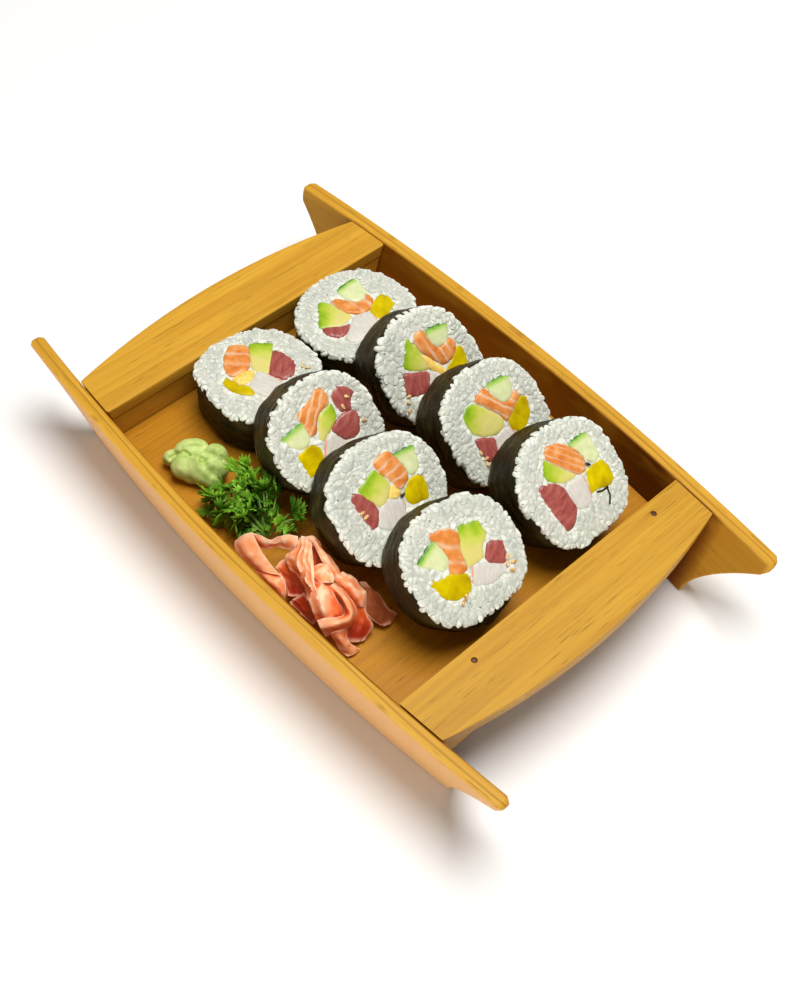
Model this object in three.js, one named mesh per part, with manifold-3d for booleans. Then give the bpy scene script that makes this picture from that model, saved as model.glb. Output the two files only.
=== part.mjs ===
// Futomaki in a bamboo serving boat: eight thick sushi roll slices in two rows,
// with a lump of wasabi, a sprig of parsley and a heap of pickled ginger.
//
// Millimetres, +Z up. X runs along the boat from the bow (-X) to the stern (+X),
// Y runs across it from the port board (-Y) to the starboard board (+Y).
// The origin is on the table, under the middle of the boat.

import * as THREE from 'three';
import { mergeVertices } from 'three/addons/utils/BufferGeometryUtils.js';
import Module from 'manifold-3d';

// ---------------------------------------------------------------- driving sizes

const GAP = 0.3;                    // clearance between pieces that touch

const BOAT = {
  halfLength: 136.5,                // middle to the tips of the side boards
  height: 41,                       // table to the top edges
  halfWidth: 78,                    // middle to the inner top edge, amidships
  bow: 7.4,                         // how far the boards bend in towards the tips
  board: 6.6,                       // board thickness, measured across the boat
  flareMid: 0.22,                   // sideways lean per unit of depth, amidships
  flareEnd: 0.3,                    // the same at the tips
};

const FOOT = {
  end: 109.2,                       // where the flat bottom edge stops
  tipHeight: 36.5,                  // underside of the tip above the table
  sweep: 0.6,                       // exponent of the hollow sweep up to the tip
  tipInset: 1.6,                    // how much the very end is narrowed per side
  tipRound: 2.4,                    // length of board over which it is narrowed
};

const DECK = {
  inner: 85.1,                      // middle of the boat to the deck's inner edge
  corner: 105.4,                    // middle of the boat to the deck's outer corners
  bulge: 8.6,                       // outward bow of the outer edge at its middle
  thickness: 6.6,
};

const BLOCK = { inner: 85.5, outer: 103 };        // end blocks under the decks
const FLOOR = { top: 23, thickness: 6.6 };

const NAIL = { radius: 0.9, depth: 2.4, sunk: 0.5, x: 90.2, port: -42.8, starboard: 55.6 };

// One row of slices is a list from the bow to the stern. The first slice of each
// row lies flat, cut face up, and each later one leans back on the slice before it.
//   x, y       middle of the cut face, seen from above
//   lean       angle of the cut face from level, in degrees, facing the stern
//   yaw        turn of the lean about the vertical, in degrees
//   thick      height of the slice along the roll
//   along      half size of the face down its slope
//   across     half size of the face across its slope
//   skew       sideways pull that makes the round lopsided
const ROWS = {
  starboard: [
    { x: -59.3, y: 34.6, lean: 0, yaw: 0, thick: 21.5, along: 25.0, across: 26.3, skew: -1.6 },
    { x: -11.4, y: 31.8, lean: 43, yaw: -8, thick: 23, along: 23.8, across: 25.2, skew: -0.7 },
    { x: 26.2, y: 30.6, lean: 40, yaw: -4, thick: 23.5, along: 24.7, across: 25.4, skew: -1.5 },
    { x: 64.9, y: 32.6, lean: 38, yaw: -3, thick: 22.5, along: 24.8, across: 25.4, skew: 0.8 },
  ],
  port: [
    { x: -59.4, y: -17.3, lean: 0, yaw: 0, thick: 21.5, along: 25.2, across: 25.0, skew: 0.6 },
    { x: -13.2, y: -20.9, lean: 42, yaw: -7, thick: 21.5, along: 23.6, across: 25.6, skew: -1.1 },
    { x: 24.4, y: -25.0, lean: 38.5, yaw: -3, thick: 21, along: 24.6, across: 25.5, skew: -2.0 },
    { x: 63.6, y: -23.2, lean: 34, yaw: -6, thick: 20.5, along: 24.8, across: 25.9, skew: 0.1 },
  ],
};

const SLICE = {
  segments: 48,
  edge: 0.9,                        // height of the rounded edge of nori and rice
  edgeInset: 0.95,                  // face radius over side radius, at that edge
  dome: 0.4,                        // how far the middle of the face stands proud
  squareness: 0.016,                // four soft corners from the rolling mat
  lopsided: 0.012,                  // three-lobed unevenness
};

// Each knob of a lump swells it towards one direction (degrees), by a share of
// its radius, over an angle that says how broad the knob is.
const WASABI = {
  x: -50, y: -59.4, heading: 42, length: 26, width: 20, height: 14.5,
  knobs: [
    { turn: 10, rise: 35, swell: 0.16, spread: 34 },
    { turn: 150, rise: 30, swell: 0.18, spread: 30 },
    { turn: 250, rise: 25, swell: 0.12, spread: 32 },
    { turn: 85, rise: 60, swell: -0.14, spread: 26 },
    { turn: 320, rise: 15, swell: -0.1, spread: 26 },
  ],
  ripple: 0.02,
};

const PARSLEY = {
  x: -19, y: -56.9, heading: 16, length: 38.6, width: 22, height: 23,
  knobs: [
    { turn: 20, rise: 50, swell: 0.14, spread: 26 },
    { turn: 110, rise: 40, swell: 0.16, spread: 24 },
    { turn: 200, rise: 45, swell: 0.12, spread: 28 },
    { turn: 290, rise: 30, swell: 0.12, spread: 24 },
    { turn: 350, rise: 15, swell: -0.12, spread: 22 },
  ],
  ripple: 0.07,
};

const GINGER = {
  x: 29.9, y: -60.8, heading: 8, length: 62.6, width: 24, height: 21,
  knobs: [
    { turn: 175, rise: 20, swell: 0.1, spread: 28 },
    { turn: 90, rise: 55, swell: 0.1, spread: 30 },
    { turn: 30, rise: 40, swell: 0.12, spread: 24 },
    { turn: 250, rise: 35, swell: 0.1, spread: 26 },
    { turn: 140, rise: 40, swell: -0.14, spread: 20 },
  ],
  ripple: 0.05,
};

// ---------------------------------------------------------------- materials

function finish(color, roughness) {
  return new THREE.MeshStandardMaterial({ color, roughness, metalness: 0 });
}

const bamboo = finish(0xd9a441, 0.35);
const bambooFloor = finish(0xc58f2e, 0.4);
const steel = finish(0x5a3a22, 0.5);
const rollMaterial = finish(0xdcded2, 0.6);
const wasabiMaterial = finish(0xb9cf6e, 0.7);
const parsleyMaterial = finish(0x2f7a14, 0.6);
const gingerMaterial = finish(0xf09a72, 0.4);

// ---------------------------------------------------------------- mesh helpers

const radians = THREE.MathUtils.degToRad;

function geometryFrom(points, triangles) {
  const geometry = new THREE.BufferGeometry();
  geometry.setAttribute('position', new THREE.Float32BufferAttribute(points.flat(), 3));
  geometry.setIndex(triangles.flat());
  return geometry;
}

// Skins a solid over a run of closed rings with equal numbers of points, and
// closes the first and the last ring with a fan about that ring's middle.
function loft(rings) {
  const count = rings[0].length;
  const points = rings.flat();
  const triangles = [];
  for (let i = 0; i + 1 < rings.length; i += 1) {
    for (let j = 0; j < count; j += 1) {
      const k = (j + 1) % count;
      const a = i * count + j;
      const b = i * count + k;
      triangles.push([a, b, b + count], [a, b + count, a + count]);
    }
  }
  const middle = (ring) => [0, 1, 2].map((axis) => ring.reduce((sum, p) => sum + p[axis], 0) / count);
  const first = points.length;
  points.push(middle(rings[0]), middle(rings[rings.length - 1]));
  const last = (rings.length - 1) * count;
  for (let j = 0; j < count; j += 1) {
    const k = (j + 1) % count;
    triangles.push([first, k, j], [first + 1, last + j, last + k]);
  }
  return geometryFrom(points, triangles);
}

function mesh(name, geometry, material) {
  const piece = new THREE.Mesh(geometry, material);
  piece.name = name;
  return piece;
}

const wasm = await Module();
wasm.setup();

function solidOf(geometry) {
  const bare = geometry.clone();
  bare.deleteAttribute('normal');
  bare.deleteAttribute('uv');
  const merged = mergeVertices(bare, 1e-4);
  const vertProperties = new Float32Array(merged.attributes.position.array);
  const triVerts = new Uint32Array(merged.index.array);
  return new wasm.Manifold(new wasm.Mesh({ numProp: 3, vertProperties, triVerts }));
}

function geometryOf(solid) {
  const { vertProperties, triVerts } = solid.getMesh();
  const geometry = new THREE.BufferGeometry();
  geometry.setAttribute('position', new THREE.BufferAttribute(vertProperties, 3));
  geometry.setIndex(new THREE.BufferAttribute(triVerts, 1));
  return geometry;
}

// ---------------------------------------------------------------- the boat

// Half width of the space between the side boards at a place along the boat and
// a height above the table.
function innerHalf(x, z) {
  const t = (x / BOAT.halfLength) ** 2;
  const flare = BOAT.flareMid + (BOAT.flareEnd - BOAT.flareMid) * t;
  return BOAT.halfWidth - BOAT.bow * t - flare * (BOAT.height - z);
}

function bottomEdge(x) {
  const past = Math.abs(x) - FOOT.end;
  if (past <= 0) {
    return 0;
  }
  const reach = BOAT.halfLength - FOOT.end;
  return FOOT.tipHeight * (past / reach) ** FOOT.sweep;
}

// Places along a side board: even steps over the flat foot, then steps that start
// small where the sweep is steepest. The last one is the end of the rounded tip.
function boardStations() {
  const footSteps = 22;
  const sweepSteps = 9;
  const half = [];
  for (let i = 0; i < footSteps / 2; i += 1) {
    half.push(FOOT.end * (i / (footSteps / 2)));
  }
  const squareEnd = BOAT.halfLength - FOOT.tipRound;
  for (let i = 0; i <= sweepSteps; i += 1) {
    half.push(FOOT.end + (squareEnd - FOOT.end) * (i / sweepSteps) ** 1.8);
  }
  half.push(BOAT.halfLength);
  const mirrored = half.slice(1).map((x) => -x).reverse();
  return mirrored.concat(half);
}

function sideBoard(name, side) {
  const rings = boardStations().map((x) => {
    const low = bottomEdge(x);
    const tip = Math.abs(x) >= BOAT.halfLength - 1e-6 ? FOOT.tipInset : 0;
    const corner = (offset, z) => [x, side * (innerHalf(x, z) + offset), z];
    const ring = [
      corner(tip, low + tip * 0.4),
      corner(BOAT.board - tip, low + tip * 0.4),
      corner(BOAT.board - tip, BOAT.height - tip * 0.4),
      corner(tip, BOAT.height - tip * 0.4),
    ];
    return side > 0 ? ring : ring.reverse();
  });
  return mesh(name, loft(rings), bamboo);
}

// A level board between the side boards: its ends or long edges follow them.
// widthAt gives the two X limits for a place v from -1 (port) to 1 (starboard).
function crossBoard(low, high, widthAt, steps, gap = GAP) {
  const rings = [];
  for (let i = 0; i <= steps; i += 1) {
    const v = -1 + (2 * i) / steps;
    const [near, far] = widthAt(v);
    const corner = (x, z) => [x, v * (innerHalf(x, z) - gap), z];
    rings.push([corner(near, low), corner(near, high), corner(far, high), corner(far, low)]);
  }
  return loft(rings);
}

function deckGeometry(end) {
  const outer = (v) => DECK.corner + DECK.bulge * (1 - v * v);
  const limits = (v) => (end > 0 ? [DECK.inner, outer(v)] : [-outer(v), -DECK.inner]);
  return crossBoard(BOAT.height - DECK.thickness, BOAT.height, limits, 28);
}

function endBlock(name, end) {
  const low = FLOOR.top - FLOOR.thickness;
  const high = BOAT.height - DECK.thickness - GAP;
  const limits = () => (end > 0 ? [BLOCK.inner, BLOCK.outer] : [-BLOCK.outer, -BLOCK.inner]);
  return mesh(name, crossBoard(low, high, limits, 2), bamboo);
}

function floorBoard() {
  const low = FLOOR.top - FLOOR.thickness;
  const reach = BLOCK.inner - GAP;
  const rings = [];
  const steps = 18;
  for (let i = 0; i <= steps; i += 1) {
    const x = -reach + (2 * reach * i) / steps;
    const lowHalf = innerHalf(x, low) - GAP;
    const highHalf = innerHalf(x, FLOOR.top) - GAP;
    rings.push([
      [x, -lowHalf, low], [x, lowHalf, low], [x, highHalf, FLOOR.top], [x, -highHalf, FLOOR.top],
    ]);
  }
  return mesh('floor_board', loft(rings), bambooFloor);
}

// A short upright cylinder whose top is at a given height.
function peg(radius, length, x, y, top) {
  const geometry = new THREE.CylinderGeometry(radius, radius, length, 16);
  geometry.rotateX(Math.PI / 2);
  geometry.translate(x, y, top - length / 2);
  return geometry;
}

function sternDeck() {
  const overrun = 1;
  let solid = solidOf(deckGeometry(1));
  for (const y of [NAIL.port, NAIL.starboard]) {
    const length = NAIL.depth + GAP + overrun;
    const hole = peg(NAIL.radius + GAP, length, NAIL.x, y, BOAT.height + overrun);
    solid = solid.subtract(solidOf(hole));
  }
  return mesh('deck_stern', geometryOf(solid), bamboo);
}

function nail(name, y) {
  const length = NAIL.depth - NAIL.sunk;
  return mesh(name, peg(NAIL.radius, length, NAIL.x, y, BOAT.height - NAIL.sunk), steel);
}

// ---------------------------------------------------------------- the slices

// Outline of a slice across the roll: a lopsided round with four soft corners.
function sliceOutline({ along, across, skew }, order) {
  const points = [];
  for (let i = 0; i < SLICE.segments; i += 1) {
    const a = (2 * Math.PI * i) / SLICE.segments;
    const uneven = 1
      + SLICE.squareness * Math.cos(4 * a + 0.9 * order)
      + SLICE.lopsided * Math.cos(3 * a + 1.7 * order);
    points.push([uneven * (along * Math.cos(a) + skew * Math.sin(a)), uneven * across * Math.sin(a)]);
  }
  return points;
}

// A slice is built with its cut face at z = 0 and the roll running down from it,
// tilted, turned, moved over its place and then let down onto the floor board.
function slice(name, spec, order) {
  const outline = sliceOutline(spec, order);
  const ring = (scale, z) => outline.map(([x, y]) => [x * scale, y * scale, z]);
  const geometry = loft([
    ring(SLICE.edgeInset, -spec.thick),
    ring(1, SLICE.edge - spec.thick),
    ring(1, -SLICE.edge),
    ring(SLICE.edgeInset, 0),
    ring(0.5, SLICE.dome),
  ]);
  const piece = mesh(name, geometry, rollMaterial);
  piece.rotation.set(0, radians(spec.lean), radians(spec.yaw), 'ZYX');
  piece.position.set(spec.x, spec.y, 0);
  piece.updateMatrixWorld(true);
  const lowest = new THREE.Box3().setFromObject(piece, true).min.z;
  piece.position.z = FLOOR.top + GAP - lowest;
  return piece;
}

// ---------------------------------------------------------------- the garnishes

// A heap on the floor board: an oval ball swollen by its knobs and ripples, and
// flat where it rests.
function lump(name, spec, material) {
  const turns = 28;
  const rises = 13;
  const floor = FLOOR.top + GAP;
  const knobs = spec.knobs.map((knob) => ({
    swell: knob.swell,
    spread: radians(knob.spread),
    aim: new THREE.Vector3().setFromSphericalCoords(1, Math.PI / 2 - radians(knob.rise), radians(knob.turn)),
  }));
  const rings = [];
  for (let i = 1; i < rises; i += 1) {
    const rise = -Math.PI / 2 + (Math.PI * i) / rises;
    const ring = [];
    for (let j = 0; j < turns; j += 1) {
      const turn = (2 * Math.PI * j) / turns;
      const aim = new THREE.Vector3().setFromSphericalCoords(1, Math.PI / 2 - rise, turn);
      let r = 1 + spec.ripple * Math.sin(5 * turn + 3 * rise) * Math.cos(rise);
      for (const knob of knobs) {
        r += knob.swell * Math.exp(-((aim.angleTo(knob.aim) / knob.spread) ** 2));
      }
      const x = (r * spec.length * Math.cos(rise) * Math.cos(turn)) / 2;
      const y = (r * spec.width * Math.cos(rise) * Math.sin(turn)) / 2;
      const z = spec.height * (0.42 + 0.58 * r * Math.sin(rise));
      const h = radians(spec.heading);
      ring.push([
        spec.x + x * Math.cos(h) - y * Math.sin(h),
        spec.y + x * Math.sin(h) + y * Math.cos(h),
        floor + Math.max(z, 0.002 * i),
      ]);
    }
    rings.push(ring);
  }
  return mesh(name, loft(rings), material);
}

// ---------------------------------------------------------------- assembly

const group = new THREE.Group();

group.add(sideBoard('side_board_port', -1));
group.add(sideBoard('side_board_starboard', 1));
group.add(floorBoard());
group.add(endBlock('end_block_bow', -1));
group.add(endBlock('end_block_stern', 1));
group.add(mesh('deck_bow', deckGeometry(-1), bamboo));
group.add(sternDeck());
group.add(nail('nail_port', NAIL.port));
group.add(nail('nail_starboard', NAIL.starboard));

for (const [side, row] of Object.entries(ROWS)) {
  row.forEach((spec, index) => {
    const order = index + (side === 'port' ? row.length : 0);
    group.add(slice(`futomaki_${side}_${index + 1}`, spec, order));
  });
}

group.add(lump('wasabi', WASABI, wasabiMaterial));
group.add(lump('parsley', PARSLEY, parsleyMaterial));
group.add(lump('pickled_ginger', GINGER, gingerMaterial));

export default group;
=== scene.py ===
# %% [markdown]
# # Futomaki in a bamboo serving boat
# Eight thick slices of a fat sushi roll lie in two rows in a small boat of laminated bamboo,
# with a lump of wasabi, a sprig of curly parsley and a heap of pickled ginger.
# The boat's boards and the places of the slices come from a measured frame. This lesson
# gives every piece its real surface: grain in the bamboo, wrinkles in the nori, single grains
# of rice, and a cut face with fish, egg and vegetables on each slice.
#
# The frame is loaded first.

# %% Load the frame
import math
import random

import bmesh
import bpy
import numpy as np
from mathutils import Matrix, Quaternion, Vector, geometry, noise
from mathutils.bvhtree import BVHTree


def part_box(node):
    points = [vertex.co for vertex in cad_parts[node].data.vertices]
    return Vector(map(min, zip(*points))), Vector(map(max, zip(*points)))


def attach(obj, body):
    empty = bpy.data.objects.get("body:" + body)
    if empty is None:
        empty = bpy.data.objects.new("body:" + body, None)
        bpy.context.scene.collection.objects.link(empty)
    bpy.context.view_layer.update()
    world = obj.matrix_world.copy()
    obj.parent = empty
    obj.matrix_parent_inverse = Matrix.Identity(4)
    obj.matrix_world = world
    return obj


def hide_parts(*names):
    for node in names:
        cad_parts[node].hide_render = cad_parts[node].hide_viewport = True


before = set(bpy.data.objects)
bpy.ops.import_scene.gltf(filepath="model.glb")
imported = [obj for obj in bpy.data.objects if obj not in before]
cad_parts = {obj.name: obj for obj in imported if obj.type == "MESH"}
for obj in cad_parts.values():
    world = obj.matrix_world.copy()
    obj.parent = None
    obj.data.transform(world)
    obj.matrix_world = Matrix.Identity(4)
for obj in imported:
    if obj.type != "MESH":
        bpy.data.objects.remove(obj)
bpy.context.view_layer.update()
mm = 0.001

# %% [markdown]
# ## The camera
# The photograph looks down over the stern from the port side. A camera can be turned with
# Euler angles, but three plain facts are easier to read: where it stands, what it looks at,
# and how far it is rolled about its own line of sight. `to_track_quat` does the aiming.

# %% Camera
CAMERA_PLACE = (231.3 * mm, -247.2 * mm, 474.7 * mm)
CAMERA_TARGET = (13.75 * mm, -4.5 * mm, 23.0 * mm)
CAMERA_ROLL = math.radians(6.26)
CAMERA_LENS = 50.02  # in mm, as the height of the sensor is
SENSOR_HEIGHT = 36.0

camera = bpy.data.objects.new("camera", bpy.data.cameras.new("camera"))
bpy.context.scene.collection.objects.link(camera)
camera.data.sensor_fit = "VERTICAL"
camera.data.sensor_height = SENSOR_HEIGHT
camera.data.lens = CAMERA_LENS
camera.data.clip_start = 10 * mm
line_of_sight = Vector(CAMERA_TARGET) - Vector(CAMERA_PLACE)
aim = line_of_sight.to_track_quat("-Z", "Y") @ Quaternion((0, 0, 1), CAMERA_ROLL)
camera.location = CAMERA_PLACE
camera.rotation_mode = "QUATERNION"
camera.rotation_quaternion = aim
bpy.context.scene.camera = camera
print("camera stands", round(line_of_sight.length, 3), "m from the middle of the rolls")

# %% [markdown]
# ## Floor and light
# The boat stands on a plain white floor. One broad lamp hangs over it, a little to starboard,
# so the tops shine and the inner face of the starboard board lies in shade. A low, weaker
# lamp stands off the port side and lights the outer face that the camera sees. Area lamps are
# used because their soft edge gives the soft shadows of a studio, and a pale world keeps the
# shadows from going quite black.

# %% Floor, lamps and world
FLOOR_HALF = 3.0  # the floor is a square; half of its side in metres
FLOOR_WHITE = (0.9, 0.9, 0.9, 1)
LAMP_AIM = (0, 0, 0.03)  # the middle of the food
WORLD_STRENGTH = 0.22


def white_floor():
    mesh = bpy.data.meshes.new("floor")
    corners = [(FLOOR_HALF * x, FLOOR_HALF * y, 0) for x, y in ((-1, -1), (1, -1), (1, 1), (-1, 1))]
    mesh.from_pydata(corners, [], [(0, 1, 2, 3)])
    floor = bpy.data.objects.new("floor", mesh)
    bpy.context.scene.collection.objects.link(floor)
    paint = bpy.data.materials.new("floor_white")
    paint.use_nodes = True
    sockets = paint.node_tree.nodes["Principled BSDF"].inputs
    sockets["Base Color"].default_value = FLOOR_WHITE
    sockets["Roughness"].default_value = 0.9
    mesh.materials.append(paint)


def lamp(name, place, size, watts, colour):
    light = bpy.data.lights.new(name, "AREA")
    light.shape = "ELLIPSE"
    light.size, light.size_y = size
    light.energy = watts
    light.color = colour
    holder = bpy.data.objects.new(name, light)
    bpy.context.scene.collection.objects.link(holder)
    holder.location = place
    holder.rotation_mode = "QUATERNION"
    holder.rotation_quaternion = (Vector(LAMP_AIM) - Vector(place)).to_track_quat("-Z", "Y")
    print(name, watts, "W,", size, "m across")


white_floor()
lamp("lamp_above", place=(0.0, 0.20, 1.2), size=(0.8, 0.8), watts=16.4, colour=(1.0, 0.985, 0.96))
lamp("lamp_low", place=(0.5, -0.9, 0.1), size=(1.2, 0.14), watts=6.0, colour=(1.0, 0.97, 0.93))
world = bpy.data.worlds.new("studio")
world.use_nodes = True
world.node_tree.nodes["Background"].inputs["Color"].default_value = (1, 1, 1, 1)
world.node_tree.nodes["Background"].inputs["Strength"].default_value = WORLD_STRENGTH
bpy.context.scene.world = world
bpy.context.scene.view_settings.view_transform = "Standard"

# %% [markdown]
# ## A short way to write node trees
# Materials are small networks of nodes, and so are the trees that deal out grains and leaves
# later on. `Network` holds what both need: a plain number or colour is set on a socket, and a
# socket that is passed as a value is linked. `Finish` is the network of one material, with
# plain verbs such as `noise`, `ramp`, `mix` and `bump`, so that it reads like a sentence.

# %% Network and Finish
class Network:
    """A tree of nodes with short ways to add to it."""

    def __init__(self, tree):
        self.tree = tree

    def feed(self, node, values):
        """Sets or links sockets, each given by its number or by its name with _ for a space."""
        for key, value in values.items():
            socket = node.inputs[key] if isinstance(key, int) else node.inputs[key.replace("_", " ")]
            if isinstance(value, bpy.types.NodeSocket):
                self.tree.links.new(value, socket)
            else:
                socket.default_value = value

    def add(self, kind, settings=None, **inputs):
        made = self.tree.nodes.new(kind)
        for key, value in (settings or {}).items():
            setattr(made, key, value)
        self.feed(made, inputs)
        return made


class Finish(Network):
    """One material and its surface shader."""

    def __init__(self, name, **sockets):
        self.material = bpy.data.materials.new(name)
        self.material.use_nodes = True
        super().__init__(self.material.node_tree)
        self.shader = self.tree.nodes["Principled BSDF"]
        self.feed(self.shader, sockets)

    def node(self, kind, settings=None, **inputs):
        return self.add("ShaderNode" + kind, settings, **inputs)

    def place(self):
        """Where a point is on the object, in metres."""
        return self.node("TexCoord").outputs["Object"]

    def own(self, name, output="Vector"):
        """The piece's own attribute of that name, as a vector or, with Fac, as a number."""
        return self.node("Attribute", {"attribute_name": name}).outputs[output]

    def scaled(self, vector, scale):
        return self.node("Mapping", Vector=vector, Scale=scale).outputs["Vector"]

    def split(self, vector):
        return self.node("SeparateXYZ", Vector=vector).outputs

    def noise(self, waves, detail=3.0, roughness=0.5, vector=None):
        """Noise over the object, or over a vector. The waves in a metre are one number or three."""
        vector = self.place() if vector is None else vector
        if isinstance(waves, tuple):
            vector, waves = self.scaled(vector, waves), 1.0
        made = self.node("TexNoise", Vector=vector, Scale=waves, Detail=detail, Roughness=roughness)
        return made.outputs["Fac"]

    def math(self, operation, a, b=0.0):
        made = self.node("Math", {"operation": operation})
        self.feed(made, {0: a, 1: b})
        return made.outputs[0]

    def total(self, *terms):
        """The sum of terms, each of them a value and the share of it that counts."""
        result = None
        for value, share in terms:
            part = value if share == 1 else self.math("MULTIPLY", value, share)
            result = part if result is None else self.math("ADD", result, part)
        return result

    def span(self, value, low, high, to_low=0.0, to_high=1.0):
        """Stretches a value from one range to another, and stops at its ends."""
        made = self.node("MapRange", {"clamp": True})
        self.feed(made, {0: value, 1: low, 2: high, 3: to_low, 4: to_high})
        return made.outputs[0]

    def ramp(self, value, *stops):
        """A colour for each value: stops are (place, colour) from 0 to 1."""
        made = self.node("ValToRGB")
        band = made.color_ramp
        while len(band.elements) < len(stops):
            band.elements.new(1.0)
        for element, (place, colour) in zip(band.elements, stops):
            element.position = place
            element.color = (*colour, 1)
        self.feed(made, {0: value})
        return made.outputs["Color"]

    def mix(self, share, first, second):
        made = self.node("Mix", {"data_type": "RGBA"})
        ends = {0: share, 6: first, 7: second}
        ends = {k: (*v, 1) if isinstance(v, tuple) and len(v) == 3 else v for k, v in ends.items()}
        self.feed(made, ends)
        return made.outputs[2]

    def colour(self, socket):
        self.feed(self.shader, {"Base Color": socket})

    def rough(self, socket):
        self.feed(self.shader, {"Roughness": socket})

    def bump(self, height, distance, strength=1.0):
        made = self.node("Bump", Height=height, Distance=distance, Strength=strength)
        self.feed(self.shader, {"Normal": made.outputs["Normal"]})


# %% [markdown]
# ## Bamboo
# Laminated bamboo is glued up from strips a few millimetres wide. Each strip has its own tone,
# long fine fibres run along it, and now and then short dark pores show. Noise that is
# squeezed across the grain and stretched along it gives the fibres. A random tone for each
# strip is read from the strip's number. Clear lacquer is the shader's coat.
#
# A side board has more to show. A glue line runs along its edge. Its inner face is painted
# darker, as painted shade, most of all near the stern, with patches of painted light along its
# top, and its outer face is painted paler, as a painted sheen.

# %% Bamboo finish
STRIP = 6.2 * mm  # width of one bamboo strip
# Waves of noise in a metre: along the grain, across it, and into the board.
FIBRES, THREADS, CLOUDS, PORES = (14, 620, 620), (40, 2600, 2600), (9, 42, 42), (95, 1500, 1500)


def bamboo_tone(look, grain, dark, light):
    """The colour of bamboo strips, and the fibre and thread noise that it is made from."""
    fibre = look.noise(FIBRES, 4.0, 0.6, grain)
    thread = look.noise(THREADS, 2.0, 0.5, grain)
    cloud = look.noise(CLOUDS, 2.0, 0.5, grain)
    strip = look.math("FLOOR", look.math("DIVIDE", look.split(grain)[1], STRIP))
    tone = look.node("TexWhiteNoise", {"noise_dimensions": "1D"}, W=strip).outputs["Value"]
    shade = look.total((look.span(fibre, 0.25, 0.75, -0.5, 0.5), 0.42),
                       (look.span(tone, 0, 1, -0.10, 0.10), 1),
                       (look.span(cloud, 0.3, 0.7, -0.13, 0.13), 1),
                       (look.span(thread, 0.3, 0.7, -0.1, 0.1), 1))
    base = look.ramp(look.math("ADD", shade, 0.5), (0.0, dark), (1.0, light))
    pores = look.noise(PORES, 1.0, 0.4, grain)
    pore_share = look.span(pores, 0.66, 0.76, 0.0, 0.5)
    return look.mix(pore_share, base, tuple(0.45 * c for c in dark)), fibre, thread


def bamboo(name, grain, dark, light, more=None):
    """grain(look) gives a vector: along the grain, across it, and into the board."""
    look = Finish(name, Roughness=0.45, Coat_Weight=0.05, Coat_Roughness=0.3, Specular_IOR_Level=0.18,
                  Specular_Tint=(1.0, 0.82, 0.5, 1))
    vector = grain(look)
    base, fibre, thread = bamboo_tone(look, vector, dark, light)
    look.colour(more(look, base, vector, dark) if more else base)
    look.rough(look.span(fibre, 0.3, 0.7, 0.36, 0.5))
    look.bump(look.total((fibre, 1), (thread, 0.5)), 0.12 * mm, 0.35)
    return look.material


# %% Glue line and painted light of the side boards
HEIGHT = 41.0 * mm  # of the side boards
BOARD = 6.6 * mm  # thickness of a side board
INNER_STAIN = (0.26, 0.064, 0.001)  # painted shade: the deep tone of the inner faces
STERN_STAIN = (0.085, 0.016, 0.0004)  # painted shade near the stern, where it is darkest
TOP_PATCH = (0.50, 0.215, 0.016)  # painted light: lighter patches along the top of the inner faces
RUBBED = (0.72, 0.40, 0.185)  # painted sheen: the paler tone of the outer faces
PATCHES = (28, 60, 110)  # waves of noise in a metre, as above
WELL_END = (104 * mm, 112 * mm)  # where the inner face passes under the decks


def side_board_stains(look, base, grain, dark):
    """Glue line, painted shade on the inner face with painted light along its top, and a painted sheen on
    the outer face, over the bamboo.
    """
    along, across, up = look.split(grain)
    from_middle = look.math("ABSOLUTE", look.math("SUBTRACT", across, 0.5 * BOARD))
    glue_line = look.span(from_middle, 0.1 * mm, 0.7 * mm, 0.6, 0.0)
    base = look.mix(glue_line, base, tuple(0.7 * c for c in dark))
    inside = look.span(across, 0.0, 0.9 * mm, 1.0, 0.0)
    in_well = look.span(look.math("ABSOLUTE", along), *WELL_END, 0.85, 0.2)
    to_stern = look.math("MULTIPLY", in_well, look.span(along, 10 * mm, 70 * mm, 0.0, 1.0))
    patches = look.noise(PATCHES, 2.0, 0.5, grain)
    top_strip = look.math("MULTIPLY", look.span(up, HEIGHT - 9 * mm, HEIGHT - 4 * mm),
                          look.span(patches, 0.42, 0.62, 0.0, 0.8))
    # Painted shade on the inner face, deeper towards the stern, and painted light along its top.
    for share, stain in ((in_well, INNER_STAIN), (to_stern, STERN_STAIN), (top_strip, TOP_PATCH)):
        base = look.mix(look.math("MULTIPLY", inside, share), base, stain)
    # Painted sheen on the outer face.
    return look.mix(look.span(across, 0.86 * BOARD, 0.98 * BOARD, 0.0, 0.7), base, RUBBED)


HONEY_DARK, HONEY_LIGHT = (0.44, 0.190, 0.014), (0.76, 0.43, 0.045)
# The stern's deck and block get a darker copy of the honey tones: painted shade.
STERN_DARK, STERN_LIGHT = (0.38, 0.160, 0.011), (0.67, 0.37, 0.038)
FLOOR_DARK, FLOOR_LIGHT = (0.32, 0.112, 0.005), (0.60, 0.275, 0.016)


def grain_athwart(look):
    """Grain that runs across the boat: along Y, with X across it."""
    x, y, z = look.split(look.place())
    return look.node("CombineXYZ", X=y, Y=x, Z=z).outputs[0]


def grain_of_board(look):
    """Grain that follows the bend of a side board, which its points carry with them."""
    return look.own("grain")


board_bamboo = bamboo("board_bamboo", grain_of_board, HONEY_DARK, HONEY_LIGHT, side_board_stains)
deck_bamboo = {
    "bow": bamboo("bow_bamboo", grain_athwart, HONEY_DARK, HONEY_LIGHT),
    "stern": bamboo("stern_bamboo", grain_athwart, STERN_DARK, STERN_LIGHT),
}
floor_bamboo = bamboo("floor_bamboo", grain_athwart, FLOOR_DARK, FLOOR_LIGHT)
print("nodes in the side boards' finish:", len(board_bamboo.node_tree.nodes))
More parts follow.
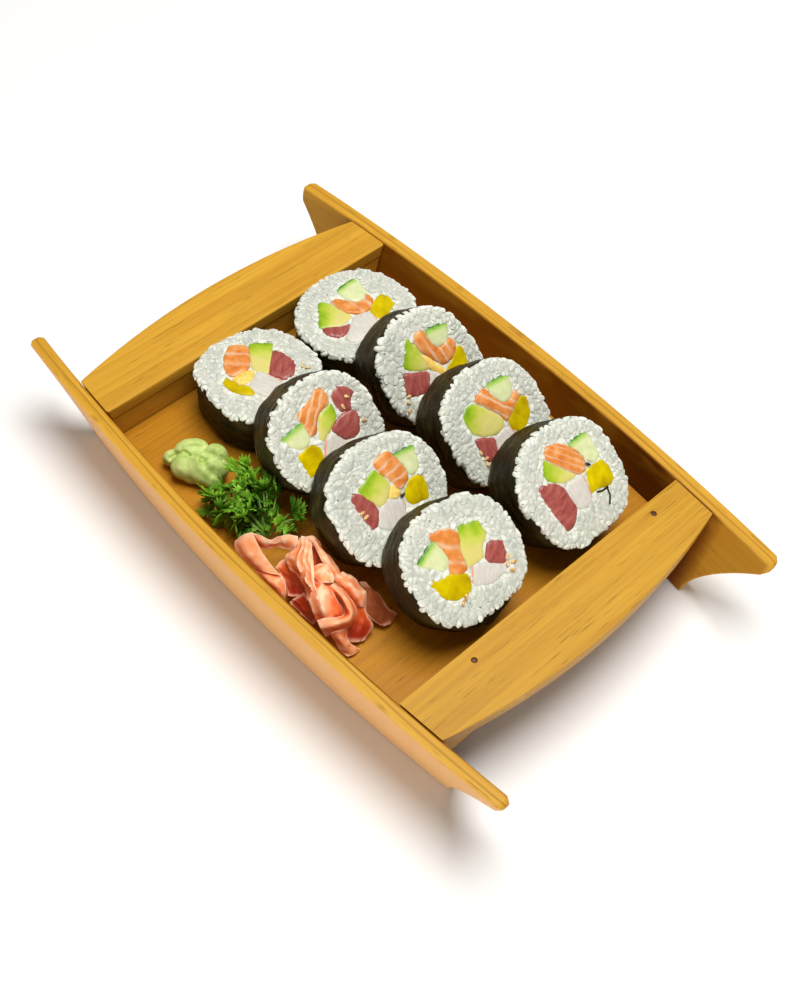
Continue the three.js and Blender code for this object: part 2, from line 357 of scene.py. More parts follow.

# %% [markdown]
# ## Helpers for meshes
# Every piece needs the same few steps, so each is written once. `add_piece` puts a finished
# mesh in the scene and lets it ride on the boat. `modified` gives the mesh as its modifiers
# leave it, with nothing still to be worked out.

# %% Mesh helpers
def add_piece(name, mesh, material, slot, *nodes):
    """Puts a finished mesh in the scene as a piece of the object."""
    piece = bpy.data.objects.new(name, mesh)
    bpy.context.scene.collection.objects.link(piece)
    mesh.materials.clear()
    mesh.materials.append(material)
    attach(piece, "root")
    if nodes:
        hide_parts(*nodes)
    return piece


def modified(name, mesh, *modifiers):
    """The mesh as it is after its modifiers, each given as (kind, settings)."""
    rough = bpy.data.objects.new(name, mesh)
    bpy.context.scene.collection.objects.link(rough)
    for kind, settings in modifiers:
        modifier = rough.modifiers.new(kind, kind)
        for key, value in settings.items():
            setattr(modifier, key, value)
    evaluated = rough.evaluated_get(bpy.context.evaluated_depsgraph_get())
    result = bpy.data.meshes.new_from_object(evaluated)
    bpy.data.objects.remove(rough)
    return result


def mesh_of(work, name):
    """The mesh that bmesh work has made, which ends the work."""
    mesh = bpy.data.meshes.new(name)
    work.to_mesh(mesh)
    work.free()
    return mesh


def set_vectors(mesh, name, vectors):
    attribute = mesh.attributes.new(name, "FLOAT_VECTOR", "POINT")
    attribute.data.foreach_set("vector", np.asarray(vectors, np.float32).ravel())


def points_of(mesh, what="co"):
    """The places of a mesh's points, or their normals, as rows of an array."""
    flat = np.zeros(len(mesh.vertices) * 3, np.float32)
    mesh.vertices.foreach_get(what, flat)
    return flat.reshape(-1, 3)


# %% [markdown]
# ## The boat's boards
# The boards of the frame already have the right shape, but real boards have eased edges. Each
# is copied, its loose triangles are merged, and its sharp edges are bevelled. Weighted normals
# keep the flats flat between the round edges. The side boards are bent, so their grain has to
# bend too: each point of them carries its own grain attribute, worked out from the
# same sizes that shaped the board.

# %% Shape of the side boards and eased copies
HALF_LENGTH = 136.5 * mm
HALF_WIDTH = 78.0 * mm  # from the middle to the inner top edge, amidships
BOW_IN = 7.4 * mm  # how much nearer that edge is at the ends
FLARE_MID, FLARE_END = 0.22, 0.30  # how far the board leans out, for each unit of height


def inner_half(x, z):
    """Half the space between the side boards, at a place along the boat and a height."""
    t = (x / HALF_LENGTH) ** 2
    flare = FLARE_MID + (FLARE_END - FLARE_MID) * t
    return HALF_WIDTH - BOW_IN * t - flare * (HEIGHT - z)


def eased_copy(node, edge):
    """A copy of a board of the frame with bevelled edges, as a smooth-shaded mesh."""
    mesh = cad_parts[node].data.copy()
    work = bmesh.new()
    work.from_mesh(mesh)
    bmesh.ops.remove_doubles(work, verts=work.verts, dist=0.01 * mm)
    bmesh.ops.dissolve_limit(work, angle_limit=math.radians(0.5), verts=work.verts, edges=work.edges)
    work.to_mesh(mesh)
    work.free()
    if "UVMap" in mesh.attributes:
        mesh.attributes.remove(mesh.attributes["UVMap"])
    bevel = {"width": edge, "segments": 3, "limit_method": "ANGLE", "angle_limit": math.radians(35)}
    mesh = modified(node, mesh, ("BEVEL", bevel))
    mesh.shade_smooth()
    return modified(node, mesh, ("WEIGHTED_NORMAL", {"keep_sharp": False, "weight": 80}))


# %% Boards, blocks, decks and floor
BOARD_EDGE, BLOCK_EDGE, FLOOR_EDGE = 0.9 * mm, 0.5 * mm, 0.4 * mm

for side in ("port", "starboard"):
    node = "side_board_" + side
    board = eased_copy(node, BOARD_EDGE)
    co = points_of(board)
    across = np.array([abs(y) - inner_half(x, z) for x, y, z in co])
    set_vectors(board, "grain", np.stack([co[:, 0], across, co[:, 2]], axis=1))
    add_piece("bamboo_" + node, board, board_bamboo, "bamboo", node)
    print(node, len(board.polygons), "faces")

for end in ("bow", "stern"):
    for node, edge in (("deck_" + end, BOARD_EDGE), ("end_block_" + end, BLOCK_EDGE)):
        add_piece("bamboo_" + node, eased_copy(node, edge), deck_bamboo[end], "bamboo", node)
floor_board = eased_copy("floor_board", FLOOR_EDGE)
add_piece("bamboo_floor_board", floor_board, floor_bamboo, "floor_bamboo", "floor_board")

# %% [markdown]
# ## The nails
# Two thin nails hold the stern deck. Their heads are sunk and have gone brown. The frame's
# nails already have the right shape, so they stay and only get this finish.

# %% Nails
rust = Finish("nail_brown", Metallic=0.6, Roughness=0.6)
speckle = rust.noise(2500.0, 2.0)
rust.colour(rust.ramp(speckle, (0.3, (0.05, 0.02, 0.01)), (0.7, (0.16, 0.06, 0.03))))
rust.bump(speckle, 0.1 * mm, 0.5)
for side in ("port", "starboard"):
    nail = "nail_" + side
    for slot_of_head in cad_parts[nail].material_slots:
        slot_of_head.material = rust.material
    low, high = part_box(nail)
    print(nail, "is", round((high.x - low.x) / mm, 2), "mm wide")

# %% [markdown]
# ## Where the slices lie
# The first slice of each row lies flat with its cut face up. The others lean back on the one
# before, so their cut faces look towards the stern. Every slice is worked out in its own
# small frame: x runs down the slope of the cut face, y across it, and z out of it, in
# millimetres. A matrix then turns it, lets it down onto the floor board and gives metres.

# %% Slice places
ROWS = {
    "starboard": [
        dict(x=-59.3, y=34.6, lean=0, yaw=0, thick=21.5, along=25.0, across=26.3, skew=-1.6),
        dict(x=-11.4, y=31.8, lean=43, yaw=-8, thick=23, along=23.8, across=25.2, skew=-0.7),
        dict(x=26.2, y=30.6, lean=40, yaw=-4, thick=23.5, along=24.7, across=25.4, skew=-1.5),
        dict(x=64.9, y=32.6, lean=38, yaw=-3, thick=22.5, along=24.8, across=25.4, skew=0.8),
    ],
    "port": [
        dict(x=-59.4, y=-17.3, lean=0, yaw=0, thick=21.5, along=25.2, across=25.0, skew=0.6),
        dict(x=-13.2, y=-20.9, lean=42, yaw=-7, thick=21.5, along=23.6, across=25.6, skew=-1.1),
        dict(x=24.4, y=-25.0, lean=38.5, yaw=-3, thick=21, along=24.6, across=25.5, skew=-2.0),
        dict(x=63.6, y=-23.2, lean=34, yaw=-6, thick=20.5, along=24.8, across=25.9, skew=0.1),
    ],
}
EDGE_INSET, EDGE_HEIGHT = 0.95, 0.9  # the rounded edge of the frame's slices

# Distance from the middle to the edge of each cut face, in mm, at sixteen even angles. They
# start at the lowest point of the face and go round by its starboard side.
FACE_EDGE = {
    "starboard_1": (25.1, 24.2, 24.2, 27.0, 26.6, 26.8, 27.0, 25.9,
                    24.6, 25.4, 25.9, 26.6, 26.3, 26.6, 26.2, 25.2),
    "starboard_2": (23.4, 22.7, 23.1, 24.1, 22.8, 22.2, 23.4, 23.9,
                    23.9, 24.6, 25.2, 24.6, 23.4, 24.0, 24.7, 24.2),
    "starboard_3": (23.7, 23.3, 24.0, 26.0, 24.8, 25.2, 26.0, 25.2,
                    24.4, 24.7, 24.8, 24.1, 22.9, 23.9, 25.7, 24.9),
    "starboard_4": (23.7, 24.9, 27.0, 26.0, 24.4, 25.3, 26.0, 24.8,
                    24.1, 24.6, 24.8, 24.8, 23.9, 22.8, 25.0, 25.5),
    "port_1": (24.5, 24.9, 24.9, 25.5, 24.9, 25.0, 25.1, 24.7,
               24.6, 25.9, 27.6, 24.5, 24.0, 25.2, 24.8, 24.4),
    "port_2": (22.8, 23.0, 23.5, 24.2, 22.9, 23.2, 24.3, 23.8,
               23.1, 23.3, 24.4, 25.7, 25.0, 25.2, 24.7, 23.4),
    "port_3": (24.0, 23.8, 23.9, 26.1, 26.4, 26.9, 26.4, 24.1,
               23.4, 24.1, 25.1, 25.4, 24.6, 25.4, 26.8, 24.6),
    "port_4": (21.7, 22.2, 25.0, 25.9, 25.7, 26.6, 26.8, 25.6,
               24.4, 25.1, 25.5, 24.9, 24.1, 24.2, 24.3, 22.9),
}
FACE_DEPTH = 7.0  # mm below the cut face where a slice has its hidden shape


def around(count):
    """Even angles all the way round."""
    return np.arange(count) * 2 * math.pi / count


def outline(spec, angles):
    """Edge points of a slice of the frame: a lopsided round with four soft corners."""
    uneven = 1 + 0.016 * np.cos(4 * angles + 0.9 * spec["order"])
    uneven = uneven + 0.012 * np.cos(3 * angles + 1.7 * spec["order"])
    x = uneven * (spec["along"] * np.cos(angles) + spec["skew"] * np.sin(angles))
    return np.stack([x, uneven * spec["across"] * np.sin(angles)], axis=-1)


def edge_radius(spec, angles, depth=0.0):
    """Radius of a slice: as its cut face shows it at the top, and as the frame's further down."""
    known = np.array(FACE_EDGE[spec["name"]])
    place = np.asarray(angles) / (2 * math.pi) * len(known)
    first = np.floor(place).astype(int)
    t = place - first
    p0, p1, p2, p3 = (known[(first + k) % len(known)] for k in (-1, 0, 1, 2))
    face = p1 + 0.5 * t * (p2 - p0 + t * (2 * p0 - 5 * p1 + 4 * p2 - p3 + t * (3 * (p1 - p2) + p3 - p0)))
    frame_radius = np.linalg.norm(outline(spec, angles), axis=-1)
    below = np.maximum(np.cos(angles), 0) ** 2
    deep = np.where(face > frame_radius, frame_radius, face + (frame_radius - face) * below)
    t = min(max(depth / FACE_DEPTH, 0.0), 1.0)
    return face + (deep - face) * t * t * (3 - 2 * t)


def seat(spec):
    """Turns a slice's own millimetres into metres in the boat, down on the floor board."""
    yaw, lean = math.radians(spec["yaw"]), math.radians(spec["lean"])
    turn = Matrix.Rotation(yaw, 4, "Z") @ Matrix.Rotation(lean, 4, "Y")
    rim = outline(spec, around(48))
    thick = spec["thick"]
    rings = [(EDGE_INSET, -thick), (1, EDGE_HEIGHT - thick), (1, -EDGE_HEIGHT), (EDGE_INSET, 0)]
    lowest = min((turn @ Vector((s * x, s * y, z))).z for s, z in rings for x, y in rim)
    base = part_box(spec["node"])[0].z / mm
    return Matrix.Scale(mm, 4) @ Matrix.Translation((spec["x"], spec["y"], base - lowest)) @ turn


slices = []
for row, specs in ROWS.items():
    for number, spec in enumerate(specs, 1):
        spec.update(order=len(slices), name=f"{row}_{number}", node=f"futomaki_{row}_{number}")
        spec["seat"] = seat(spec)
        slices.append(spec)
        print(spec["name"], "face middle at", [round(v / mm, 1) for v in spec["seat"].translation])

# %% [markdown]
# ## Nori
# The roll is wrapped in one sheet of roasted seaweed. It is thin, nearly black, and pressed
# against the rice, so it shows soft lumps from the grains below and fine wrinkles that run
# round the roll. It is built as a tube with a wall: rings of points down the outside,
# over the rim and back up the inside. Noise moves the outer points, stretched round
# the roll for the wrinkles. The sheet's end laps over its start, which leaves a low step.

# %% Rings and relief
def mesh_from(name, points, faces, place):
    mesh = bpy.data.meshes.new(name)
    mesh.from_pydata([tuple(p) for p in points], [], faces)
    mesh.transform(place)
    mesh.validate()
    mesh.shade_smooth()
    return mesh


def ring_faces(count, rings, closed=False):
    """Quads between neighbouring rings; closed joins the last ring to the first."""
    faces = []
    for i in range(rings if closed else rings - 1):
        k = (i + 1) % rings
        for j in range(count):
            n = (j + 1) % count
            faces.append((i * count + j, i * count + n, k * count + n, k * count + j))
    return faces


def relief(x, y, z, seed):
    """Smooth noise from about -1 to 1, different for each seed."""
    return noise.noise(Vector((x, y, z + 17.3 * seed)))


# %% Nori sheets
NORI_THICK = 0.4  # in mm
NORI_BELOW = 1.1  # how far the sheet ends below the cut face
NORI_TURNS, NORI_STEPS = 168, 34  # points round the roll, and rings along it
NORI_RADIUS = 25  # turns an angle into a length round the roll, in mm
SEAM_AT = (2.2, 1.9, 1.5, 0.72, 2.5, 1.6, 1.2, 2.0)  # angle of the overlap's edge on each slice
SEAM_SPAN, SEAM_STEP = 0.55, 0.3  # angle over which the overlap fades, and its height in mm


def nori_relief(x, y, arc, depth, seed):
    """Height of the sheet's lumps over the grains, its folds and its fine creases, in mm."""
    lump = 0.22 * relief(x / 4.5, y / 4.5, depth / 4.5, seed)
    fold = 0.9 * (0.3 - abs(relief(arc / 12, depth / 6, 6.1, seed)))
    crease = 0.2 * relief(arc / 5, depth / 1.6, 3.1, seed)
    return lump + fold + crease


def nori_wall(spec):
    angles = around(NORI_TURNS)
    thick, seed, seam = spec["thick"], spec["order"], SEAM_AT[spec["order"]]
    depths = [NORI_BELOW + (thick - 2 * NORI_BELOW) * i / NORI_STEPS for i in range(NORI_STEPS + 1)]
    rows = [("out", d) for d in depths] + [("in", d) for d in (depths[-1] - 0.3, thick / 2, depths[0] + 0.3)]
    points, wrap = [], []
    for side, depth in rows:
        to_edge = min(depth, thick - depth) - NORI_BELOW
        end = 0.0 if depth < thick / 2 else 5.0  # other noise for the other end of the slice
        for angle, radius in zip(angles, edge_radius(spec, angles, depth)):
            arc = angle * NORI_RADIUS
            x, y = radius * math.cos(angle), radius * math.sin(angle)
            ragged = 0.9 * relief(arc / 1.9, 9.5, end, seed) if to_edge < 0.01 else 0.0
            lap = (seam - angle) / SEAM_SPAN
            step = SEAM_STEP * (1 - lap) if 0 <= lap < 1 else 0.0
            bend = 0.5 * math.exp(-(to_edge / 1.4) ** 2)
            reach = radius - 0.1 - bend + step + nori_relief(x, y, arc, depth, seed)
            reach -= NORI_THICK if side == "in" else 0
            points.append((reach * math.cos(angle), reach * math.sin(angle), -depth + ragged))
            wrap.append((arc * mm, depth * mm, 0))
    faces = ring_faces(NORI_TURNS, len(rows), closed=True)
    mesh = mesh_from("nori_" + spec["name"], points, [f[::-1] for f in faces], spec["seat"])
    set_vectors(mesh, "wrap", wrap)
    return mesh


nori = Finish("nori", Roughness=0.5, Specular_IOR_Level=0.16, Specular_Tint=(1.0, 0.86, 0.62, 1))
wrap = nori.own("wrap")
streak = nori.noise((110, 430, 1), 5.0, 0.65, wrap)
patch = nori.noise(90.0, 3.0, 0.5)
crumple = nori.noise((520, 700, 1), 4.0, 0.6, wrap)
nori.colour(nori.ramp(nori.total((streak, 0.6), (patch, 0.5)), (0.38, (0.007, 0.006, 0.003)),
                      (0.58, (0.028, 0.021, 0.007)), (0.76, (0.090, 0.064, 0.018))))
nori.rough(nori.span(crumple, 0.35, 0.7, 0.62, 0.3))
nori.bump(nori.total((streak, 1), (crumple, 0.5)), 0.3 * mm, 0.7)

for spec in slices:
    sheet = nori_wall(spec)
    add_piece(sheet.name, sheet, nori.material, "nori", spec["node"])
print("nori sheets:", len(slices), "with", NORI_TURNS, "points round each ring")

# %% [markdown]
# ## What is in the roll
# Each slice shows the same fillings, squeezed into different shapes: sticks of salmon, tuna,
# avocado, cucumber with its skin, crab stick, yellow pickled radish and omelette. A stick runs
# right through the slice, so it is the outline of its cut end given a depth. The outlines
# are written as (across, down) on the cut face, in millimetres. The first two points of each
# are its marked side: the skin of the cucumber, the green side of the avocado, the dyed edge of
# the crab stick, and the direction of the salmon's pale stripes.

# %% Fillings by slice
FILLINGS = {
    "starboard_1": {
        "cucumber": [[(13.5, -16.5), (1.5, -15.5), (2, -9), (4, -5.5), (8, -4.5), (12, -7)]],
        "salmon": [[(-4.5, -12), (-3.5, -3), (1, 1.5), (6, 2), (11, -1.5), (11.5, -6), (8, -3.5),
            (4, -4.5), (1.5, -8), (-1, -11.5)]],
        "avocado": [[(-8, -15.5), (-18.5, -3.5), (-14.5, -1.5), (-9, 1.5), (-2, 0.5), (-3.5, -3),
            (-5, -11)]],
        "tuna": [[(-17, -2.5), (-18, 2), (-14, 6.5), (-8.5, 5), (-6, 2.5), (-10, 2), (-14, -1)]],
        "crab_stick": [[(5, 5.5), (3.5, 12), (-4, 14), (-12.5, 11), (-13, 8), (-7, 4), (-2, 0.8),
            (3, 1.7)]],
        "pickled_radish": [[(15.5, -2), (10, -0.5), (5.5, 2.5), (4.8, 6), (6, 10.5), (11, 10), (16.5, 6),
            (17, 1)]],
    },
    "starboard_2": {
        "cucumber": [[(13.2, -14), (2.4, -14.4), (3, -9), (5, -5.5), (10, -6), (12, -9)]],
        "salmon": [[(-4, -13), (-2.4, -7), (2, -1.5), (5, 2), (10.5, 0.5), (13.5, -4), (12, -7.2),
            (5, -4.7), (2.6, -9), (1.8, -14), (0, -15)]],
        "avocado": [[(-6.5, -14.5), (-12.5, -4), (-9.5, -1.5), (-4, 0.5), (-1, 0.7), (-2.5, -5),
            (-4.5, -12)]],
        "omelette": [[(-3.4, -6), (-2, 0.5), (3.8, 6), (5.6, 5), (1, -1), (-1, -4)]],
        "pickled_radish": [[(14, -3.2), (10, 1), (5.2, 4), (6, 10), (12, 10), (15.3, 5), (16, -0.5)]],
        "tuna": [[(-13.5, -2), (-14.8, 4), (-15.5, 7), (-9, 9), (-5, 8), (-2, 2), (-8, -0.2)]],
        "crab_stick": [[(4.5, 6), (5, 11.5), (-3, 13), (-5.5, 9.5), (-3, 4), (-1.5, 2), (1.5, 3.4)]],
    },
    "starboard_3": {
        "cucumber": [[(14, -15), (2.3, -15.8), (3.4, -10), (6, -5.4), (10, -5.2), (13, -9)]],
        "salmon": [[(-5.5, -12), (-1, -6.8), (3, -2), (4, 2), (8, 0), (11.5, -2.4), (15, -4.5),
            (13.8, -8), (10, -4.8), (5.6, -5.2), (3, -10), (1.4, -14.6)]],
        "avocado": [[(-9, -11.5), (-13, -8.5), (-12, -1), (-8, 2.3), (-2, 4.3), (2.6, 3), (3, -1),
            (-1.4, -6.4), (-5.6, -10.8)]],
        "pickled_radish": [[(14, -4.2), (9, -1.6), (4.4, 2.4), (5.4, 6), (8, 8.5), (12, 6.8), (16, 3.5),
            (17, -3)]],
        "tuna": [[(-12.5, 1.4), (-12, 7), (-11.4, 11.5), (-8, 12.4), (-5, 9.5), (-3.8, 4.8),
            (-8.5, 2.7)]],
        "crab_stick": [[(4.6, 4.4), (7, 12.5), (-2, 14), (-4.8, 9.5), (-3.4, 5.2), (1.5, 3.4)]],
    },
    "starboard_4": {
        "salmon": [[(-3.6, -9.6), (0.2, -5.6), (4, -1.2), (7.4, -1), (9.2, -4.4), (8.4, -8.4),
            (4.6, -13.4), (0, -16.5), (-4, -16.8), (-6.2, -13.8)]],
        "cucumber": [[(15.2, -14.6), (5, -13.8), (9, -8), (10.6, -3), (13, -1.6), (16.6, -3),
            (16.2, -9)]],
        "avocado": [[(-7, -14), (-10.6, -7), (-8, -4.4), (-4.6, -2), (1, -0.7), (3.6, -1.6), (-1, -5.8),
            (-5, -11)]],
        "pickled_radish": [[(16.4, -1.2), (11, -1.2), (7.6, -0.4), (6.4, 3), (5.2, 8), (9, 7.8),
            (14, 9.6), (18, 8), (18, 3)]],
        "crab_stick": [[(5.7, -0.4), (5.4, 5), (4.6, 10.6), (0.4, 11.6), (-3, 9.8), (-3.8, 5),
            (-4.2, -0.2)]],
        "tuna": [[(-12, -5.5), (-15, -4.6), (-14.2, 1), (-13.8, 5), (-12.4, 11), (-11.6, 15),
            (-8.4, 14.6), (-5.4, 12), (-3.2, 9), (-4.2, 4), (-4.6, 0.4), (-6.2, -2.4)]],
    },
    "port_1": {
        "salmon": [[(5.5, -15), (0, -20), (-6, -16), (-10.6, -10), (-10.6, -5.6), (-3, -4.4),
            (0.8, -8)]],
        "avocado": [[(14.4, -9.6), (6.6, -15.8), (3.2, -10.6), (-1.4, -4), (0, 2.4), (3, 2.2),
            (11.8, -6.8)]],
        "tuna": [[(12, -6.8), (2.2, 2), (3.4, 5.6), (5.2, 9), (10, 9), (14.6, 4.6), (14, -2.2)]],
        "omelette": [[(-11, -5.2), (-10.2, 0), (-5, 0.6), (-1.2, -2.6), (-3.6, -4.6)]],
        "crab_stick": [[(2, 2.2), (3.8, 9), (2, 13), (-4, 13), (-7.4, 9), (-8.6, 2.4), (-5, 0.8),
            (0, -1.8)]],
        "pickled_radish": [[(-12, -7.4), (-15.4, -5.6), (-15.4, -0.6), (-13, 4.2), (-9.4, 7.4),
            (-7.2, 5.2), (-8.6, 1), (-10.8, -0.4), (-11.2, -4)]],
    },
    "port_2": {
        "salmon": [[(1, -17), (-1.2, -14.6), (-6, -13), (-10.2, -11), (-8.2, -6), (-8, -1.4), (-5.4, -2),
            (-3, -7), (0, -9), (4.2, -10), (5, -13), (4, -16.6)]],
        "cucumber": [[(-8.8, -9), (-20, -6.2), (-17.6, -2.2), (-15, 0.8), (-10.4, 0.8), (-8.4, -1.2)]],
        "avocado": [[(5.8, -5.4), (5.2, -10.4), (-1.8, -7.2), (-3.2, -4), (-5.4, 1), (-4, 2.6),
            (0, -0.4), (4, -3)]],
        "tuna": [[(6.2, -11), (7.6, -4.6), (12.4, -4.2), (13, -8), (16, -9.6), (13.4, -13),
            (9.4, -14.6)],
            [(6.2, -3.8), (0.6, -0.4), (4, 5), (8, 6.2), (11, 5.4), (14, -0.2), (12.8, -3.8)]],
        "crab_stick": [[(-3, 2.2), (-6.2, 8), (-4, 12.4), (3, 13), (5.2, 9), (4, 5.4), (0.8, 0.6)]],
        "pickled_radish": [[(-13, 1.8), (-16.4, 2.8), (-15.6, 8.4), (-14.6, 13), (-10, 11.2),
            (-6.2, 8.2), (-6.6, 3.2), (-9, 0.9)]],
    },
    "port_3": {
        "salmon": [[(8, -15.5), (1, -14.6), (1.6, -10), (4, -6), (5.6, -1), (7, 0), (11, -2.2),
            (11.8, -6), (10, -12)]],
        "cucumber": [[(19.6, -12.6), (9.4, -13.6), (11.4, -9), (12, -3.2), (15, -2.2), (18, -5)]],
        "avocado": [[(0, -12.4), (-9.8, -8.6), (-8, -4), (-5.6, 0.4), (-4, 2), (-0.4, 0.6), (3.6, -4),
            (1.4, -9)]],
        "omelette": [[(3.8, -3.4), (0.2, -0.2), (2.8, 2), (5.2, 1.2), (5, -1)]],
        "pickled_radish": [[(17, -1.2), (11, -1.8), (6.8, 1.2), (6.2, 5), (8, 7.6), (15, 8.6),
            (16.6, 4)]],
        "crab_stick": [[(5.2, 4), (3.6, 9), (0, 13), (-6, 10.6), (-9.6, 6.6), (-6, 2.8), (-1, -0.2)]],
        "tuna": [[(-12, -8.4), (-14, -6.4), (-13.2, -1), (-12.6, 3), (-11.8, 7), (-9, 7), (-6.4, 3),
            (-6.4, -1), (-9, -6)]],
    },
    "port_4": {
        "salmon": [[(2.2, -12.6), (-2, -15), (-8.6, -15.6), (-5.4, -9), (-4.6, -4), (-7.4, 0.4), (-4, 3),
            (0, 2.4), (0.2, -4), (3, -10)]],
        "cucumber": [[(-7, -13.6), (-17, -9), (-16, -7), (-13, -4.4), (-8.6, -1), (-4.8, -4),
            (-5.8, -9)]],
        "avocado": [[(12.4, -11.4), (3.2, -13.4), (3, -10), (0.4, -4), (0.4, 2.6), (3, 2), (8, 1.8),
            (9, -2), (13.4, -5)]],
        "tuna": [[(12, -2.5), (8, 2.4), (8.4, 4.4), (14.6, 8), (16.8, 4), (17.6, 0)]],
        "crab_stick": [[(2.4, 1.8), (-1.6, 8.6), (5, 11.6), (13, 11), (14.8, 9), (9, 5)]],
        "pickled_radish": [[(-15, -1.4), (-16.4, 1), (-14.6, 3.6), (-14.4, 7), (-11, 9.6), (-5, 11),
            (-1.8, 8.8), (-1, 4), (-6, 0.8), (-12, 0.6)]],
    },
}
print("sticks in all:", sum(len(sticks) for kinds in FILLINGS.values() for sticks in kinds.values()))

# %% [markdown]
# ## A stick of filling
# A cut stick has a flat face with softly rounded edges, and it stands a little proud of the
# rice or sinks into it. The outline's corners are cut twice to round them. The face between is
# filled with small triangles by a constrained Delaunay triangulation, because a grid of
# inner points is needed before a face can bulge or ripple. Every point carries how far it is
# from the marked side, and the materials paint skin, rind and stripes from that.

# %% Outlines
TIGHT = 0.55  # each stick is this much larger, so neighbours press together


def doubled_area(points):
    """Twice the area inside a closed line, less than 0 where it runs clockwise."""
    return sum(p[0] * q[1] - q[0] * p[1] for p, q in zip(points, points[1:] + points[:1]))


def rounded(points, share=0.16, rounds=2):
    """The closed line with its corners cut off, a share of each side at a time."""
    for _ in range(rounds):
        cut = []
        for p, q in zip(points, points[1:] + points[:1]):
            cut.append(tuple(a + (b - a) * share for a, b in zip(p, q)))
            cut.append(tuple(b - (b - a) * share for a, b in zip(p, q)))
        points = cut
    return points


def swollen(points, by):
    """The closed line with every corner pushed outwards."""
    out = by if doubled_area(points) > 0 else -by
    result = []
    for before, here, after in zip(points[-1:] + points[:-1], points, points[1:] + points[:1]):
        a = (Vector(here) - Vector(before)).normalized()
        b = (Vector(after) - Vector(here)).normalized()
        normal = Vector((a.y + b.y, -a.x - b.x)).normalized()
        result.append(tuple(Vector(here) + normal * out))
    return result


def stick_line(outline_points):
    """The outline of a stick as it is cut: turned to x down and y across, swollen and rounded."""
    return rounded(swollen([(down, across) for across, down in outline_points], TIGHT))


def resampled(points, step):
    """The same closed line with points no further apart than step."""
    result = []
    for p, q in zip(points, points[1:] + points[:1]):
        parts = max(1, math.ceil(math.dist(p, q) / step))
        result += [tuple(a + (b - a) * i / parts for a, b in zip(p, q)) for i in range(parts)]
    return result


def distance_to(line, places):
    """Distance of each place to a closed line, and whether the place is inside it."""
    a = np.array(line)
    b = np.roll(a, -1, axis=0)
    ab = b - a
    p = np.asarray(places)[:, None, :]
    t = np.clip(((p - a) * ab).sum(-1) / (ab ** 2).sum(-1), 0, 1)
    gap = np.linalg.norm(p - (a + t[..., None] * ab), axis=-1).min(axis=1)
    crosses = (a[:, 1] > p[..., 1]) != (b[:, 1] > p[..., 1])
    slope = (p[..., 1] - a[:, 1]) / np.where(ab[:, 1] == 0, 1e-9, ab[:, 1])
    inside = (crosses & (p[..., 0] < a[:, 0] + slope * ab[:, 0])).sum(axis=1) % 2 == 1
    return gap, inside


def filled(line, step):
    """Triangles that fill a closed line, with a grid of points inside it."""
    low, high = np.min(line, axis=0), np.max(line, axis=0)
    grid = np.stack(np.meshgrid(np.arange(low[0], high[0], step), np.arange(low[1], high[1], step)), -1)
    grid = grid.reshape(-1, 2)
    gap, inside = distance_to(line, grid)
    points = [Vector(p) for p in line] + [Vector(p) for p in grid[inside & (gap > 0.45 * step)]]
    made = geometry.delaunay_2d_cdt(points, [], [list(range(len(line)))], 1, 1e-5)
    return np.array([tuple(v) for v in made[0]]), [list(f) for f in made[2]]


# %% Stick builder
LINE_STEP, FACE_STEP = 0.8, 0.95  # distance of points along the outline and inside it
STICK_EASE = 0.4  # radius of the rounded edge
RIPPLE = 0.16  # height of the ripples on the cut


def closed_solid(front_faces, count):
    """Faces of a front, of the same front mirrored, and of the walls between."""
    used = {(a, b) for f in front_faces for a, b in zip(f, f[1:] + f[:1])}
    border = [(a, b) for f in front_faces for a, b in zip(f, f[1:] + f[:1]) if (b, a) not in used]
    walls = [(b, a, a + count, b + count) for a, b in border]
    back_faces = [[i + count for i in f[::-1]] for f in front_faces]
    return front_faces + walls + back_faces


def from_marked_side(outline_points, flat):
    """How far each point is from the marked side, and how far along it."""
    start, end = (np.array((down, across)) for across, down in outline_points[:2])
    along = (end - start) / np.linalg.norm(end - start)
    inner = np.array([along[1], -along[0]])
    if ((flat.mean(axis=0) - start) @ inner) < 0:
        inner = -inner
    return (flat - start) @ inner, (flat - start) @ along


def stick(outline_points, thick, lift, bulge, seed):
    """Points, faces and marks of a stick whose cut end has this outline, on both sides."""
    line = resampled(stick_line(outline_points), LINE_STEP)
    flat, faces = filled(line, FACE_STEP)
    gap, _ = distance_to(line, flat)
    fall = STICK_EASE - np.sqrt(np.maximum(STICK_EASE ** 2 - np.maximum(STICK_EASE - gap, 0) ** 2, 0))
    swell = bulge * (1 - np.exp(-gap / 2.0))
    ripple = np.array([RIPPLE * relief(x / 1.6, y / 1.6, 4.0, seed) for x, y in flat])
    front = lift + swell + ripple - fall
    back = -thick - 0.2 - swell * 0.5 - ripple + fall
    points = [(x, y, z) for heights in (front, back) for (x, y), z in zip(flat, heights)]
    clockwise = sum(doubled_area([flat[i] for i in f]) for f in faces) < 0
    front_faces = [f[::-1] for f in faces] if clockwise else faces
    depth, run = from_marked_side(outline_points, flat)
    marks = np.concatenate([np.stack([depth, run, heights], axis=1) for heights in (front, back)])
    return points, closed_solid(front_faces, len(flat)), marks * mm


# %% [markdown]
# ## How the fillings look
# Wet food is glossy with light that soaks in, so every filling has a little subsurface
# scattering and a low roughness. The marked side drives the colour: a cucumber goes from dark
# skin to pale flesh in a few millimetres, an avocado from green to butter yellow over its
# whole width, and salmon has thin pale bands at even distances.

# %% Finishes of vegetables and egg
def wet(name, rough, soak, radius):
    return Finish(name, Roughness=rough, Specular_IOR_Level=0.35, Subsurface_Weight=soak,
                  Subsurface_Radius=radius, Subsurface_Scale=1.5 * mm)


def ragged_depth(look, wander, scale):
    """Distance from the marked side in mm, made uneven by noise."""
    depth = look.math("DIVIDE", look.split(look.own("marks"))[0], mm)
    return look.math("ADD", depth, look.span(look.noise(scale), 0.25, 0.75, -wander, wander))


RIND = (2.0, 4.5)  # mm below the cucumber's skin where rind turns to flesh

